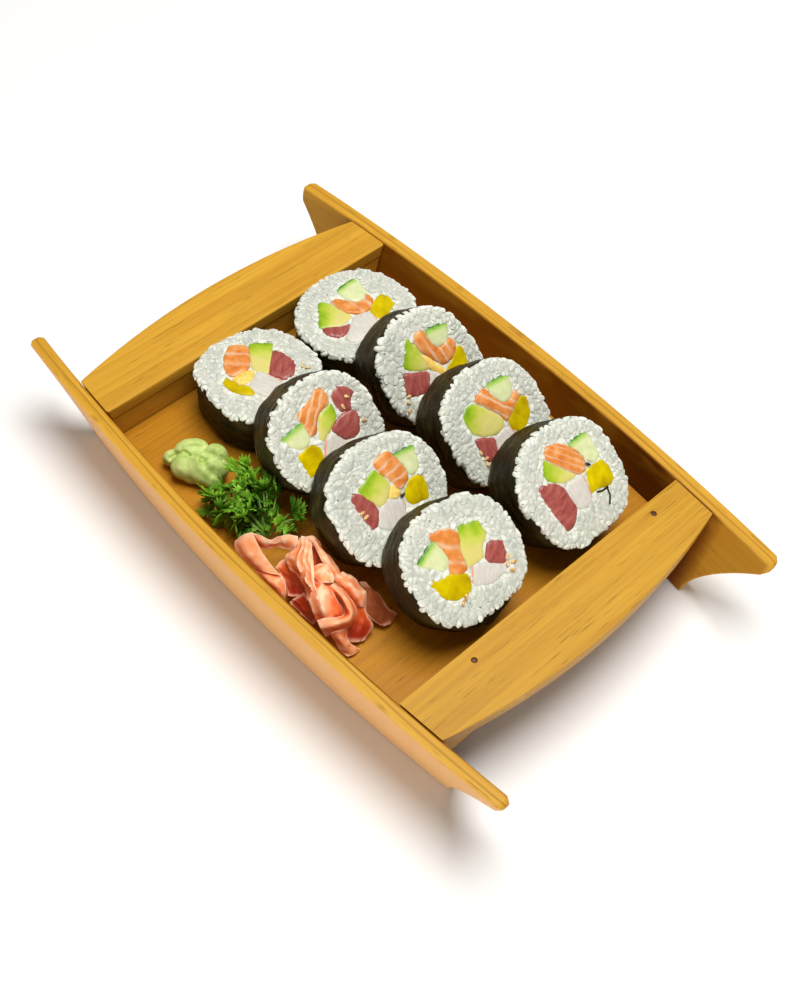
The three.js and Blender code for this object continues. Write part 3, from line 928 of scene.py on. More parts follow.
cucumber = wet("cucumber", 0.28, 0.25, (0.7, 1.0, 0.4))
depth = ragged_depth(cucumber, 0.35, 500)
seedy = cucumber.noise(420)
flesh = cucumber.ramp(seedy, (0.3, (0.60, 0.66, 0.32)), (0.7, (0.73, 0.76, 0.45)))
rind = cucumber.ramp(cucumber.math("DIVIDE", depth, 4.0), (0.05, (0.02, 0.11, 0.005)),
                     (0.16, (0.12, 0.36, 0.02)), (0.38, (0.40, 0.57, 0.12)), (0.8, (0.62, 0.70, 0.32)))
cucumber.colour(cucumber.mix(cucumber.span(depth, *RIND), rind, flesh))
cucumber.bump(seedy, 0.3 * mm, 0.3)

avocado = wet("avocado", 0.36, 0.2, (0.9, 1.0, 0.3))
depth = ragged_depth(avocado, 2.4, 210)
avocado.colour(avocado.ramp(avocado.math("DIVIDE", depth, 12.0), (0.0, (0.19, 0.37, 0.006)),
                            (0.18, (0.34, 0.49, 0.012)), (0.48, (0.55, 0.59, 0.08)),
                            (0.8, (0.67, 0.60, 0.18))))
avocado.bump(avocado.noise(380), 0.3 * mm, 0.25)

radish = wet("pickled_radish", 0.3, 0.3, (1.0, 0.8, 0.05))
radish.feed(radish.shader, {"Specular Tint": (1.0, 0.85, 0.2, 1)})
cloudy = radish.noise(210, 4.0)
radish.colour(radish.ramp(cloudy, (0.3, (0.42, 0.29, 0.0)), (0.5, (0.56, 0.42, 0.0)),
                          (0.72, (0.69, 0.56, 0.0))))
radish.bump(cloudy, 0.3 * mm, 0.25)

egg = wet("omelette", 0.5, 0.25, (1.0, 0.8, 0.3))
pores = egg.noise(800)
egg.colour(egg.ramp(pores, (0.3, (0.82, 0.48, 0.06)), (0.7, (0.95, 0.74, 0.22))))
egg.bump(pores, 0.35 * mm, 0.5)
print("the cucumber's rind ends", RIND[1], "mm below its skin")

# %% Finishes of fish and crab stick
salmon = wet("salmon", 0.25, 0.3, (1.2, 0.6, 0.35))
salmon.feed(salmon.shader, {"Specular Tint": (1.0, 0.7, 0.5, 1)})
band_run = salmon.math("DIVIDE", salmon.split(salmon.own("marks"))[2], mm)
wander = salmon.span(salmon.noise(200), 0.25, 0.75, -0.16, 0.16)
wave = salmon.math("SINE", salmon.math("MULTIPLY", salmon.math("ADD", band_run, wander), math.pi))
bands = salmon.math("ABSOLUTE", wave)
fade = salmon.span(salmon.noise(120, 2.0), 0.35, 0.6, 0.25, 0.85)
fat = salmon.math("MULTIPLY", salmon.span(bands, 0.12, 0.62, 1.0, 0.0), fade)
meat = salmon.ramp(salmon.noise(260, 4.0), (0.3, (0.62, 0.17, 0.028)),
                   (0.5, (0.71, 0.25, 0.055)), (0.72, (0.83, 0.38, 0.13)))
salmon.colour(salmon.mix(fat, meat, (0.76, 0.54, 0.36)))
salmon.bump(bands, 0.25 * mm, 0.25)

tuna = wet("tuna", 0.25, 0.25, (1.2, 0.4, 0.35))
sinew = tuna.noise((500, 160, 100), 4.0, 0.6, tuna.own("marks"))
tuna.colour(tuna.ramp(sinew, (0.32, (0.25, 0.045, 0.038)), (0.52, (0.37, 0.088, 0.072)),
                      (0.76, (0.50, 0.17, 0.135))))
tuna.bump(sinew, 0.3 * mm, 0.35)

crab = wet("crab_stick", 0.38, 0.35, (1.0, 0.8, 0.7))
depth = ragged_depth(crab, 0.25, 420)
thread = crab.noise((900, 200, 200), vector=crab.own("marks"))
white = crab.ramp(thread, (0.3, (0.58, 0.54, 0.47)), (0.7, (0.69, 0.66, 0.60)))
crab.colour(crab.mix(crab.span(depth, 0.1, 0.75, 0.75, 0.0), white, (0.84, 0.24, 0.10)))
crab.bump(thread, 0.2 * mm, 0.3)

# %% Sticks in every slice
# The finish of each kind, how far it stands proud of the cut, and how far it bulges, in mm.
KINDS = {
    "cucumber": (cucumber, 0.3, 0.25),
    "avocado": (avocado, 0.24, 0.3),
    "salmon": (salmon, 0.38, 0.5),
    "tuna": (tuna, 0.35, 0.5),
    "crab_stick": (crab, 0.33, 0.25),
    "pickled_radish": (radish, 0.24, 0.3),
    "omelette": (egg, 0.45, 0.3),
}
SALMON_BANDS = {  # from one pale band to the next, in mm
    "starboard_1": 5.5, "starboard_2": 3.6, "starboard_3": 3.6, "starboard_4": 2.3,
    "port_1": 5.4, "port_2": 3.2, "port_3": 3.6, "port_4": 6.0,
}


def joined(parts):
    """Points and faces of several solids or sheets as one."""
    points, faces = [], []
    for some_points, some_faces, *_ in parts:
        faces += [[i + len(points) for i in f] for f in some_faces]
        points += some_points
    return points, faces


for spec in slices:
    for kind, outlines in FILLINGS[spec["name"]].items():
        look, lift, bulge = KINDS[kind]
        seed = spec["order"] + 0.37 * len(kind)
        parts = [stick(o, spec["thick"], lift, bulge, seed + i) for i, o in enumerate(outlines)]
        marks = np.concatenate([part[2] for part in parts])
        if kind == "salmon":
            marks[:, 2] = marks[:, 0] / SALMON_BANDS[spec["name"]]
        mesh = mesh_from(f"{kind}_{spec['name']}", *joined(parts), spec["seat"])
        set_vectors(mesh, "marks", marks)
        add_piece(mesh.name, mesh, look.material, kind)
    print(spec["name"], "holds", ", ".join(FILLINGS[spec["name"]]))

# %% [markdown]
# ## Rice
# Under the grains lies a core with the relief of packed rice, a little darker and greyer,
# because light gets lost between grains. It is a drum of rings: out over the cut face, down
# inside the nori and in again over the back. Both rice finishes let light soak in deep.

# %% Rice core
RICE_TURNS, FACE_RINGS = 120, 24  # points round the core, and rings on each of its faces
RICE_ROUND = 1.5  # how far in from the edge the rice starts to fall away
RICE_TOP, RICE_FALL = 0.25, 1.1  # height over the cut plane, and how far the edge falls
CORE_BELOW = 0.17  # the core lies this much deeper than the grains' bed
CORE_INSET = 0.9  # from the slice's edge to the core's


def rice_height(share, radius):
    """Height of the rice above the cut plane at a share of the radius."""
    fall = max(0.0, RICE_ROUND - (1 - share) * radius) / RICE_ROUND
    return RICE_TOP - RICE_FALL * (1 - math.sqrt(max(0.0, 1 - fall * fall)))


def rice_core(spec):
    angles, thick = around(RICE_TURNS), spec["thick"]
    radii = np.minimum(edge_radius(spec, angles), edge_radius(spec, angles, thick / 2)) - CORE_INSET
    shares = [(i + 1) / FACE_RINGS for i in range(FACE_RINGS)]
    points = [(0, 0, -0.3)]
    for back in (False, True):
        for share in reversed(shares) if back else shares:
            for angle, radius in zip(angles, radii):
                reach = radius * share
                x, y = reach * math.cos(angle), reach * math.sin(angle)
                rough = 0.2 * relief(x / 1.4, y / 1.4, 8.0 * back, spec["order"])
                z = rice_height(share, radius) - CORE_BELOW + rough
                points.append((x, y, -thick - z if back else z))
    points.append((0, 0, 0.3 - thick))
    faces = [[1 + i for i in f] for f in ring_faces(RICE_TURNS, 2 * FACE_RINGS)]
    last = len(points) - 1
    top = last - RICE_TURNS
    for j in range(RICE_TURNS):
        k = (j + 1) % RICE_TURNS
        faces.append([0, 1 + k, 1 + j])
        faces.append([last, top + j, top + k])
    return mesh_from("rice_" + spec["name"], points, [f[::-1] for f in faces], spec["seat"])


def rice_finish(name, **sockets):
    return Finish(name, Subsurface_Weight=0.4, Subsurface_Radius=(1.0, 1.0, 0.9),
                  Subsurface_Scale=2.4 * mm, **sockets)


pressed = rice_finish("rice_pressed", Roughness=0.45)
grey = pressed.noise(420)
pressed.colour(pressed.ramp(grey, (0.3, (0.46, 0.51, 0.43)), (0.5, (0.76, 0.79, 0.67)),
                            (0.7, (0.86, 0.875, 0.74))))
pressed.bump(grey, 0.5 * mm, 0.4)

for spec in slices:
    core = rice_core(spec)
    add_piece(core.name, core, pressed.material, "rice")
print("points in a rice core:", len(core.vertices))

# %% [markdown]
# ## The grain scatter
# On both cut faces, single grains are scattered by Geometry Nodes: points are dealt out over
# a bed with a smallest distance between them, an instance of one grain stands on each, turned
# and tipped at random, and the instances are made real. The bed's attribute `open` is 0 where
# a filling lies, so no grain lands there. The tree is built in the script. Its inputs carry
# plain names, and a modifier's input is set by the socket's identifier. Each grain also gets
# a random `tone`, so that no two neighbours are quite the same white.

# %% Growth helper
class Growth(Network):
    """A tree of geometry nodes that stands small things over a bed, and makes them real."""

    def __init__(self, name, output, **inputs):
        super().__init__(bpy.data.node_groups.new(name, "GeometryNodeTree"))
        for title, kind in inputs.items():
            self.tree.interface.new_socket(title, in_out="INPUT", socket_type="NodeSocket" + kind)
        self.tree.interface.new_socket(output, in_out="OUTPUT", socket_type="NodeSocketGeometry")
        self.given = self.tree.nodes.new("NodeGroupInput").outputs

    def dealt(self, density, **inputs):
        """Points over the bed, no closer together than the given spacing."""
        return self.add("GeometryNodeDistributePointsOnFaces", {"distribute_method": "POISSON"},
                        Mesh=self.given["Bed"], Distance_Min=self.given["Spacing"], Density_Max=density,
                        Seed=self.given["Seed"], **inputs).outputs

    def minus(self, value):
        made = self.add("ShaderNodeMath", {"operation": "MULTIPLY"})
        self.feed(made, {0: value, 1: -1.0})
        return made.outputs[0]

    def chance(self, low, high):
        """A random number from low to high for each point."""
        made = self.add("FunctionNodeRandomValue", {"data_type": "FLOAT"}, Seed=self.given["Seed"])
        self.feed(made, {2: low, 3: high})
        return made.outputs[1]

    def vector(self, **axes):
        return self.add("ShaderNodeCombineXYZ", **axes).outputs[0]

    def turned(self, rotation, **angles):
        """The rotation, turned further by angles about its own axes."""
        turn = self.add("FunctionNodeEulerToRotation")
        self.feed(turn, {0: self.vector(**angles)})
        both = self.add("FunctionNodeRotateRotation", {"rotation_space": "LOCAL"})
        self.feed(both, {0: rotation, 1: turn.outputs[0]})
        return both.outputs[0]

    def stood(self, points, thing, rotation, scale, **inputs):
        """One instance of the thing on each point."""
        return self.add("GeometryNodeInstanceOnPoints", Points=points, Instance=thing, Rotation=rotation,
                        Scale=scale, **inputs).outputs[0]

    def finished(self, instances):
        """Gives every instance a tone, makes it real and sets the finish."""
        tone = self.add("FunctionNodeRandomValue")
        keep = self.add("GeometryNodeStoreNamedAttribute", {"data_type": "FLOAT", "domain": "INSTANCE"},
                        Geometry=instances, Name="tone", Value=tone.outputs[1])
        real = self.add("GeometryNodeRealizeInstances", Geometry=keep.outputs[0])
        paint = self.add("GeometryNodeSetMaterial", Geometry=real.outputs[0], Material=self.given["Finish"])
        self.feed(self.add("NodeGroupOutput"), {0: paint.outputs[0]})
        return self.tree


def grown(name, bed, tree, **inputs):
    """The mesh that a node tree makes from a bed, with its inputs set by their plain names."""
    ground = bpy.data.objects.new(name, bed)
    bpy.context.scene.collection.objects.link(ground)
    modifier = ground.modifiers.new("grow", "NODES")
    sockets = {item.name: item.identifier for item in tree.interface.items_tree if item.in_out == "INPUT"}
    modifier.node_group = tree
    for key, value in inputs.items():
        modifier[sockets[key]] = value
    evaluated = ground.evaluated_get(bpy.context.evaluated_depsgraph_get())
    result = bpy.data.meshes.new_from_object(evaluated)
    result.name = name
    bpy.data.objects.remove(ground)
    return result


# %% Grain and its tree
GRAIN_LENGTH, GRAIN_WIDTH, GRAIN_HEIGHT, GRAIN_BEND = 5.0, 2.6, 2.1, 0.3
GRAIN_DENSITY = 3e6  # grains on a square metre, before the spacing thins them
GRAIN_SIZES = (0.78, 1.08)  # scale of the smallest and of the largest


def rice_grain():
    """One cooked short grain, slightly bent, along X, in metres."""
    work = bmesh.new()
    bmesh.ops.create_uvsphere(work, u_segments=8, v_segments=5, radius=1)
    for v in work.verts:
        along, side, up = v.co.z, v.co.x, v.co.y
        blunt = along * (1.12 - 0.12 * along ** 2)
        across = side * GRAIN_WIDTH / 2 + GRAIN_BEND * along ** 2
        v.co = Vector((blunt * GRAIN_LENGTH / 2, across, up * GRAIN_HEIGHT / 2)) * mm
    bmesh.ops.recalc_face_normals(work, faces=work.faces)
    mesh = mesh_of(work, "grain")
    mesh.shade_smooth()
    return bpy.data.objects.new("grain", mesh)


def grain_tree():
    grow = Growth("scatter_grains", "Grains", Bed="Geometry", Grain="Object", Spacing="Float",
                  Tip="Float", Sink="Float", Seed="Int", Finish="Material")
    given = grow.given
    mask = grow.add("GeometryNodeInputNamedAttribute", {"data_type": "FLOAT"}, Name="open")
    deal = grow.dealt(GRAIN_DENSITY, Density_Factor=mask.outputs["Attribute"])
    tip = grow.chance(grow.minus(given["Tip"]), given["Tip"])
    rotation = grow.turned(deal["Rotation"], Y=tip, Z=grow.chance(0.0, math.tau))
    source = grow.add("GeometryNodeObjectInfo", Object=given["Grain"]).outputs["Geometry"]
    stood = grow.stood(deal["Points"], source, rotation, grow.chance(*GRAIN_SIZES))
    down = grow.vector(Z=grow.minus(grow.chance(0.0, given["Sink"])))
    lower = grow.add("GeometryNodeTranslateInstances", Instances=stood, Translation=down)
    return grow.finished(lower.outputs[0])


grain = rice_grain()
scatter = grain_tree()
print("a grain has", len(grain.data.polygons), "faces")

# %% [markdown]
# ## Grains on every slice
# The bed of the grains is a disc over the cut face. Two layers of grains are dealt out on it,
# and those that stand over the plane of the knife's cut are pressed back to it, as a blade
# leaves them. The middles of a few cells of a Voronoi pattern are painted dark, as small dark
# specks on single grains.

# %% Grain finish
SPECK_CELLS = (360, 360, 250)  # cells in a metre
SPECK_SHARE = (0.78, 0.80)  # cells with a random number over these have a speck

boiled = rice_finish("rice_grains", Roughness=0.5, Specular_IOR_Level=0.2)
patchy = boiled.noise(160)
tone_mix = boiled.total((boiled.own("tone", "Fac"), 0.3), (patchy, 1))
white_rice = boiled.ramp(tone_mix, (0.32, (0.63, 0.69, 0.59)), (0.56, (0.80, 0.825, 0.695)),
                         (0.86, (0.87, 0.875, 0.745)))
flakes = boiled.scaled(boiled.place(), SPECK_CELLS)
cells = boiled.node("TexVoronoi", Vector=flakes, Scale=1.0).outputs
near_middle = boiled.span(cells["Distance"], 0.08, 0.17, 0.85, 0.0)
chosen = boiled.span(boiled.split(cells["Color"])[0], *SPECK_SHARE)
speck = boiled.math("MULTIPLY", near_middle, chosen)
boiled.colour(boiled.mix(speck, white_rice, (0.07, 0.08, 0.06)))
print("light and dark of the rice come from", len(boiled.tree.nodes), "nodes")

# %% Grain beds
BED_RINGS = 28
BED_INSET, BED_BELOW, BACK_BED_BELOW = 1.2, 0.6, 1.0  # from the slice's edge, and from the rice's top
CLEAR_FROM, CLEAR_OVER = 0.7, 0.3  # mm off a filling where grains start, and over which they thin


def grain_bed(spec, back):
    """A disc over one cut face, open where no filling lies."""
    angles, thick = around(RICE_TURNS), spec["thick"]
    radii = edge_radius(spec, angles, thick) - CORE_INSET if back else edge_radius(spec, angles)
    points = []
    for i in range(BED_RINGS):
        share = (i + 0.5) / (BED_RINGS - 0.5)
        for angle, radius in zip(angles, radii):
            reach = (radius - BED_INSET) * share
            z = rice_height(share, radius) - (BACK_BED_BELOW if back else BED_BELOW)
            points.append((reach * math.cos(angle), reach * math.sin(angle), -thick - z if back else z))
    flat = np.array(points)[:, :2]
    clear = np.full(len(flat), 99.0)
    for outlines in FILLINGS[spec["name"]].values():
        for corners in outlines:
            gap, inside = distance_to(stick_line(corners), flat)
            clear = np.minimum(clear, np.where(inside, -gap, gap))
    faces = ring_faces(RICE_TURNS, BED_RINGS)
    mesh = mesh_from("bed", points, [f[::-1] for f in faces] if back else faces, spec["seat"])
    openness = np.clip((clear - CLEAR_FROM) / CLEAR_OVER, 0, 1).astype(np.float32)
    mesh.attributes.new("open", "FLOAT", "POINT").data.foreach_set("value", openness)
    return mesh


# %% Grain layers
KNIFE, BACK_KNIFE, KNIFE_SOFT = 0.08, -0.4, 0.4  # planes of the two cuts, and their soft margin
NORI_GAP, BACK_NORI_GAP = 0.3, 1.2  # from the slice's edge to the grains that the nori presses on
NORI_SOFT = 0.45
# Spacing in mm, tip in radians, sink in mm and seed of each layer.
GRAIN_LAYERS = ((2.0, 0.4, 0.7, 11), (1.9, 0.25, 0.3, 23))


def softly_below(values, limit, soft):
    """The values, with everything above the limit squeezed into a soft margin over it."""
    over = np.maximum(values - limit, 0)
    return np.minimum(values, limit) + soft * (1 - np.exp(-over / soft))


def pressed_flat(mesh, spec, back):
    """Squeezes the grains towards the plane of the knife's cut and inside the nori's edge."""
    to_slice, to_boat, thick = np.array(spec["seat"].inverted()), np.array(spec["seat"]), spec["thick"]
    local = points_of(mesh) @ to_slice[:3, :3].T + to_slice[:3, 3]
    if back:
        local[:, 2] = -thick - softly_below(-thick - local[:, 2], BACK_KNIFE, KNIFE_SOFT)
    else:
        local[:, 2] = softly_below(local[:, 2], KNIFE, KNIFE_SOFT)
    reach = np.hypot(local[:, 0], local[:, 1])
    angles = np.arctan2(local[:, 1], local[:, 0]) % math.tau
    if back:
        limit = edge_radius(spec, angles, thick) - BACK_NORI_GAP
    else:
        limit = edge_radius(spec, angles) - NORI_GAP
    local[:, :2] *= (softly_below(reach, limit, NORI_SOFT) / np.maximum(reach, 1e-6))[:, None]
    in_boat = local @ to_boat[:3, :3].T + to_boat[:3, 3]
    mesh.vertices.foreach_set("co", in_boat.astype(np.float32).ravel())


for spec in slices:
    work = bmesh.new()
    for back in ([False, True] if spec["lean"] else [False]):
        for spacing, tip, sink, seed in GRAIN_LAYERS:
            layer = grown("grains", grain_bed(spec, back), scatter, Grain=grain, Spacing=spacing * mm,
                          Tip=tip, Sink=sink * mm, Seed=seed + 7 * spec["order"] + 3 * back,
                          Finish=boiled.material)
            pressed_flat(layer, spec, back)
            work.from_mesh(layer)
    mesh = mesh_of(work, "rice_grains_" + spec["name"])
    mesh.shade_smooth()
    add_piece(mesh.name, mesh, boiled.material, "rice")
    print(mesh.name, len(mesh.polygons) // len(grain.data.polygons), "grains")

# %% [markdown]
# ## Sesame seeds and the end of the nori
# A few golden and black sesame seeds have stuck to the cut faces. A seed is a small drop,
# pointed at one end. In the last starboard slice the sheet's inner end shows as a thin dark
# line in the rice, so it is a pair of short strips that stand in the rice like the fillings do.

# %% Sesame seeds
GOLDEN_SEEDS = {
    "starboard_2": [(-15, 7), (-17, 12.5), (-16, 9.5)],
    "starboard_3": [(-12.5, 7), (-11.5, 10), (-12, 12)],
    "port_1": [(15.5, 8), (16.2, 10.4)],
    "port_2": [(12, -9.5), (9, -6.5), (15, 2)],
    "port_3": [(-12.5, -0.5), (-12, 1.6)],
    "port_4": [(16.5, 6), (17.5, 9), (15.5, 11.5), (15, 8.4), (-6, 11), (-8, 12)],
}
BLACK_SEEDS = {"starboard_4": [(9.5, -2.5)], "port_3": [(5.5, 2)]}
SEED_LENGTH, SEED_WIDTH, SEED_HEIGHT = 2.8, 0.8, 0.5  # the last two are half sizes
SEED_LIFT = 0.8  # height of a seed's middle over the cut plane


def seed_shape(place, turn):
    """Points and faces of one sesame seed that lies on a cut face."""
    rings, count = 8, 10
    points = []
    for i in range(rings):
        t = i / (rings - 1)
        wide = math.sin(math.pi * t) ** 0.75 * (0.55 + 0.55 * t)
        for a in around(count):
            side, up = SEED_WIDTH * wide * math.cos(a), SEED_HEIGHT * wide * math.sin(a)
            points.append(tuple(place + turn @ Vector(((t - 0.5) * SEED_LENGTH, side, up))))
    faces = [(a, d, c, b) for a, b, c, d in ring_faces(count, rings)]
    faces += [tuple(range(count)), tuple((rings - 1) * count + j for j in reversed(range(count)))]
    return points, faces


def seeds(name, spots, seed):
    rng = random.Random(seed)
    work = bmesh.new()
    for spec in slices:
        for across, down in spots.get(spec["name"], []):
            spin = Matrix.Rotation(rng.uniform(0, math.tau), 3, "Z")
            turn = spin @ Matrix.Rotation(rng.uniform(-0.3, 0.3), 3, "Y")
            points, faces = seed_shape(Vector((down, across, SEED_LIFT)), turn)
            work.from_mesh(mesh_from("seed", points, faces, spec["seat"]))
    bmesh.ops.remove_doubles(work, verts=work.verts, dist=0.005 * mm)
    bmesh.ops.recalc_face_normals(work, faces=work.faces)
    mesh = mesh_of(work, name)
    mesh.shade_smooth()
    return mesh


def seed_finish(name, dark, light):
    look = Finish(name, Roughness=0.4, Specular_IOR_Level=0.4)
    shade = look.noise(900, 2.0)
    look.colour(look.ramp(shade, (0.35, dark), (0.65, light)))
    look.bump(shade, 0.1 * mm, 0.3)
    return look.material


golden_look = seed_finish("sesame", (0.50, 0.24, 0.05), (0.86, 0.64, 0.30))
black_look = seed_finish("black_sesame", (0.008, 0.007, 0.006), (0.03, 0.027, 0.022))
add_piece("sesame", seeds("sesame", GOLDEN_SEEDS, 3), golden_look, "sesame")
add_piece("black_sesame", seeds("black_sesame", BLACK_SEEDS, 5), black_look, "black_sesame")
print("golden seeds:", sum(len(spots) for spots in GOLDEN_SEEDS.values()))

# %% End of the nori
NORI_END = [[(12.5, 9), (12.2, 12.5), (10.2, 15.5)], [(7.6, 8.6), (10, 9.4), (13.2, 9.4)]]
STRIP_WIDTH, STRIP_TOP, STRIP_DEPTH = 0.7, 0.62, 3.6  # in mm


def strip_outline(path):
    """A closed outline round a path, as wide as the strip is thick."""
    left, right = [], []
    for i, here in enumerate(path):
        before, after = path[max(i - 1, 0)], path[min(i + 1, len(path) - 1)]
        side = Vector((after[1] - before[1], before[0] - after[0])).normalized() * (STRIP_WIDTH / 2)
        left.append((here[0] + side.x, here[1] + side.y))
        right.append((here[0] - side.x, here[1] - side.y))
    return left + right[::-1]


work = bmesh.new()
for path in NORI_END:
    line = [(down, across) for across, down in strip_outline(path)]
    flat, faces = filled(resampled(line, 0.5), 0.5)
    upper = [work.verts.new((x, y, STRIP_TOP)) for x, y in flat]
    made = [work.faces.new([upper[i] for i in f]) for f in faces]
    grown_down = bmesh.ops.extrude_face_region(work, geom=made)
    moved = [v for v in grown_down["geom"] if isinstance(v, bmesh.types.BMVert)]
    bmesh.ops.translate(work, verts=moved, vec=(0, 0, -STRIP_DEPTH))
bmesh.ops.recalc_face_normals(work, faces=work.faces)
nori_end = mesh_of(work, "nori_end")
last_slice = next(spec for spec in slices if spec["name"] == "starboard_4")
nori_end.transform(last_slice["seat"])
set_vectors(nori_end, "wrap", points_of(nori_end))
add_piece("nori_end", nori_end, nori.material, "nori")
print("strips at the nori's end:", len(NORI_END))

# %% [markdown]
# ## Wasabi
# A lump of wasabi paste, pinched off and folded over, is soft like dough: round lobes with
# sharp creases between them. Overlapping ellipsoids are melted into one skin by a voxel
# remesh, and a few smoothing steps keep the joins soft. Creases are then pressed in along
# lines that were laid on the skin, and noise adds small pits and drags.

# %% Wasabi lobes and creases
WASABI_LOBES = [  # centre and half sizes, in mm, and turn about Z
    ((-48.4, -58.4, 28.6), (8.0, 6.4, 6.2), 44),  # the middle, which carries the rest
    ((-52.2, -63.6, 28.6), (5.2, 5.0, 5.0), 0),  # the ball at the front
    ((-59.0, -62.4, 27.4), (5.2, 3.6, 3.9), 62),  # the flat tail on the left
    ((-56.0, -56.2, 30.4), (7.2, 4.6, 4.6), 60),  # the back lobe, folded over
    ((-46.8, -51.2, 31.2), (5.0, 4.5, 5.8), 30),  # the upright lobe on the right
    ((-42.9, -53.9, 28.6), (4.9, 4.9, 5.6), 44),
    ((-45.4, -54.8, 30.2), (5.6, 5.4, 5.2), 44),
    ((-45.0, -59.2, 28.2), (5.6, 5.0, 4.6), 44),
    ((-41.7, -57.6, 27.0), (4.4, 4.4, 3.8), 47),
    ((-47.8, -62.2, 26.4), (5.0, 3.4, 3.2), 47),
]
# Creases, cracks and small pits: how deep, how wide and where, in mm. A ridge is less than 0 deep.
WASABI_CREASES = [
    (0.8, 0.8, [(-58.2, -65.1, 30), (-57.6, -63.5, 31.5), (-56.1, -61.9, 33), (-55.1, -60.6, 33.5),
        (-53.2, -60, 34), (-51.2, -59.3, 34.5), (-49.9, -58.4, 34.5), (-47.9, -57.7, 34),
        (-46.2, -57.3, 33.5)]),
    (0.5, 0.9, [(-56.9, -60.1, 33.5), (-55.2, -58, 34.5), (-53.6, -56, 35), (-52.3, -54.1, 35),
        (-51.7, -52.6, 35), (-52.1, -50.6, 34.5)]),
    (0.7, 1.4, [(-46, -53.1, 35), (-46.6, -55, 34.5), (-46.1, -56.8, 34), (-45.1, -58.2, 33.5)]),
    (0.3, 2.0, [(-52.7, -66.4, 31), (-50.8, -66.5, 30)]),
    (-0.3, 1.1, [(-48.4, -59.6, 34), (-45.2, -60.4, 33.5), (-41.8, -60.3, 33), (-38.1, -58.8, 31)]),
    (0.35, 0.5, [(-43.5, -51.3, 34.5), (-42.6, -51, 34), (-41.9, -51.3, 33.5)]),
    (1.3, 0.6, [(-53.1, -60.1, 34), (-53, -60, 34)]),
    (0.9, 0.6, [(-48.1, -57.8, 34), (-47.9, -57.8, 34)]),
    (0.9, 0.6, [(-46.4, -58.5, 34), (-46.2, -58.4, 34)]),
]


def melted(name, lobes, voxel, smooth):
    """Ellipsoids melted into one skin."""
    work = bmesh.new()
    for centre, half, turn in lobes:
        made = bmesh.ops.create_icosphere(work, subdivisions=4, radius=1)
        spin = Matrix.Rotation(math.radians(turn), 4, "Z")
        shape = Matrix.Translation(centre) @ spin @ Matrix.Diagonal((*half, 1))
        bmesh.ops.transform(work, matrix=Matrix.Scale(mm, 4) @ shape, verts=made["verts"])
    remesh = {"mode": "VOXEL", "voxel_size": voxel}
    soften = {"factor": 0.5, "iterations": smooth}
    return modified(name, mesh_of(work, name), ("REMESH", remesh), ("SMOOTH", soften))


lump = melted("wasabi", WASABI_LOBES, 0.3 * mm, 50)
print("wasabi skin:", len(lump.polygons), "faces")

# %% Creased wasabi
FOOD_FLOOR = 23.3 * mm  # top of the floor board; nothing soft sinks below it


def smooth_row(row, steps):
    """Catmull-Rom curve through a row of points."""
    ends = [2 * row[0] - row[1]] + row + [2 * row[-1] - row[-2]]
    curve = []
    for p0, p1, p2, p3 in zip(ends, ends[1:], ends[2:], ends[3:]):
        for i in range(steps):
            t = i / steps
            curve.append(0.5 * (2 * p1 + (p2 - p0) * t + (2 * p0 - 5 * p1 + 4 * p2 - p3) * t * t
                                + (3 * p1 - 3 * p2 + p3 - p0) * t ** 3))
    return curve + [row[-1]]


def lifted(mesh, floor):
    """Moves every point that lies below the floor up to it."""
    co = points_of(mesh)
    co[:, 2] = np.maximum(co[:, 2], floor)
    mesh.vertices.foreach_set("co", co.ravel())


co, normals = points_of(lump), points_of(lump, "normal")
skin = BVHTree.FromPolygons([tuple(p) for p in co], [tuple(f.vertices) for f in lump.polygons])
push = np.array([0.25 * relief(x, y, z, 1) - 0.15 * abs(relief(x / 2, y / 2, z / 2, 2))
                 for x, y, z in co / (3.2 * mm)])
for deep, wide, path in WASABI_CREASES:
    on_skin = [skin.find_nearest(Vector(p) * mm)[0] / mm for p in path]
    line = np.array(smooth_row(on_skin, 6))
    gap = np.linalg.norm(co[:, None, :] / mm - line[None, :, :], axis=2).min(axis=1)
    push -= deep * (np.exp(-(gap / wide) ** 2) - 0.2 * np.exp(-((gap - 2 * wide) / wide) ** 2))
co += normals * (push * mm)[:, None].astype(np.float32)
lump.vertices.foreach_set("co", co.ravel())
lifted(lump, FOOD_FLOOR)
lump.shade_smooth()

paste = Finish("wasabi", Roughness=0.5, Specular_IOR_Level=0.3, Subsurface_Weight=0.25,
               Subsurface_Radius=(0.9, 1.0, 0.4), Subsurface_Scale=1.2 * mm)
pits = paste.noise(700, 4.0, 0.6)
broad = paste.noise(140, 2.0)
paste.colour(paste.ramp(paste.total((pits, 0.4), (broad, 0.6)), (0.35, (0.38, 0.51, 0.12)),
                        (0.5, (0.54, 0.67, 0.20)), (0.68, (0.67, 0.78, 0.29))))
paste.bump(pits, 0.3 * mm, 0.5)
add_piece("wasabi", lump, paste.material, "wasabi", "wasabi")
print("deepest push into the wasabi:", round(float(-push.min()), 2), "mm")

# %% [markdown]
# ## Curly parsley
# The sprig is a bunch of leaflets on thin stalks that fan out from one point under the ginger.
# A leaflet is a hand of five narrow lobes with notched tips, creased along each lobe and
# curled upwards. Three leaflets with different curl are made once. Geometry Nodes then stands
# them all over small domes, one dome for each tuft of the sprig, tipped away from the dome's
# middle at random, so that the tufts look ruffled and deep.

# %% Parsley leaflets
LEAFLET = 8.2  # length of the longest lobe, in mm
LEAF_THICK = 0.22 * mm
LOBE_ANGLES = (-66, -34, -4, 28, 60)  # degrees from straight up
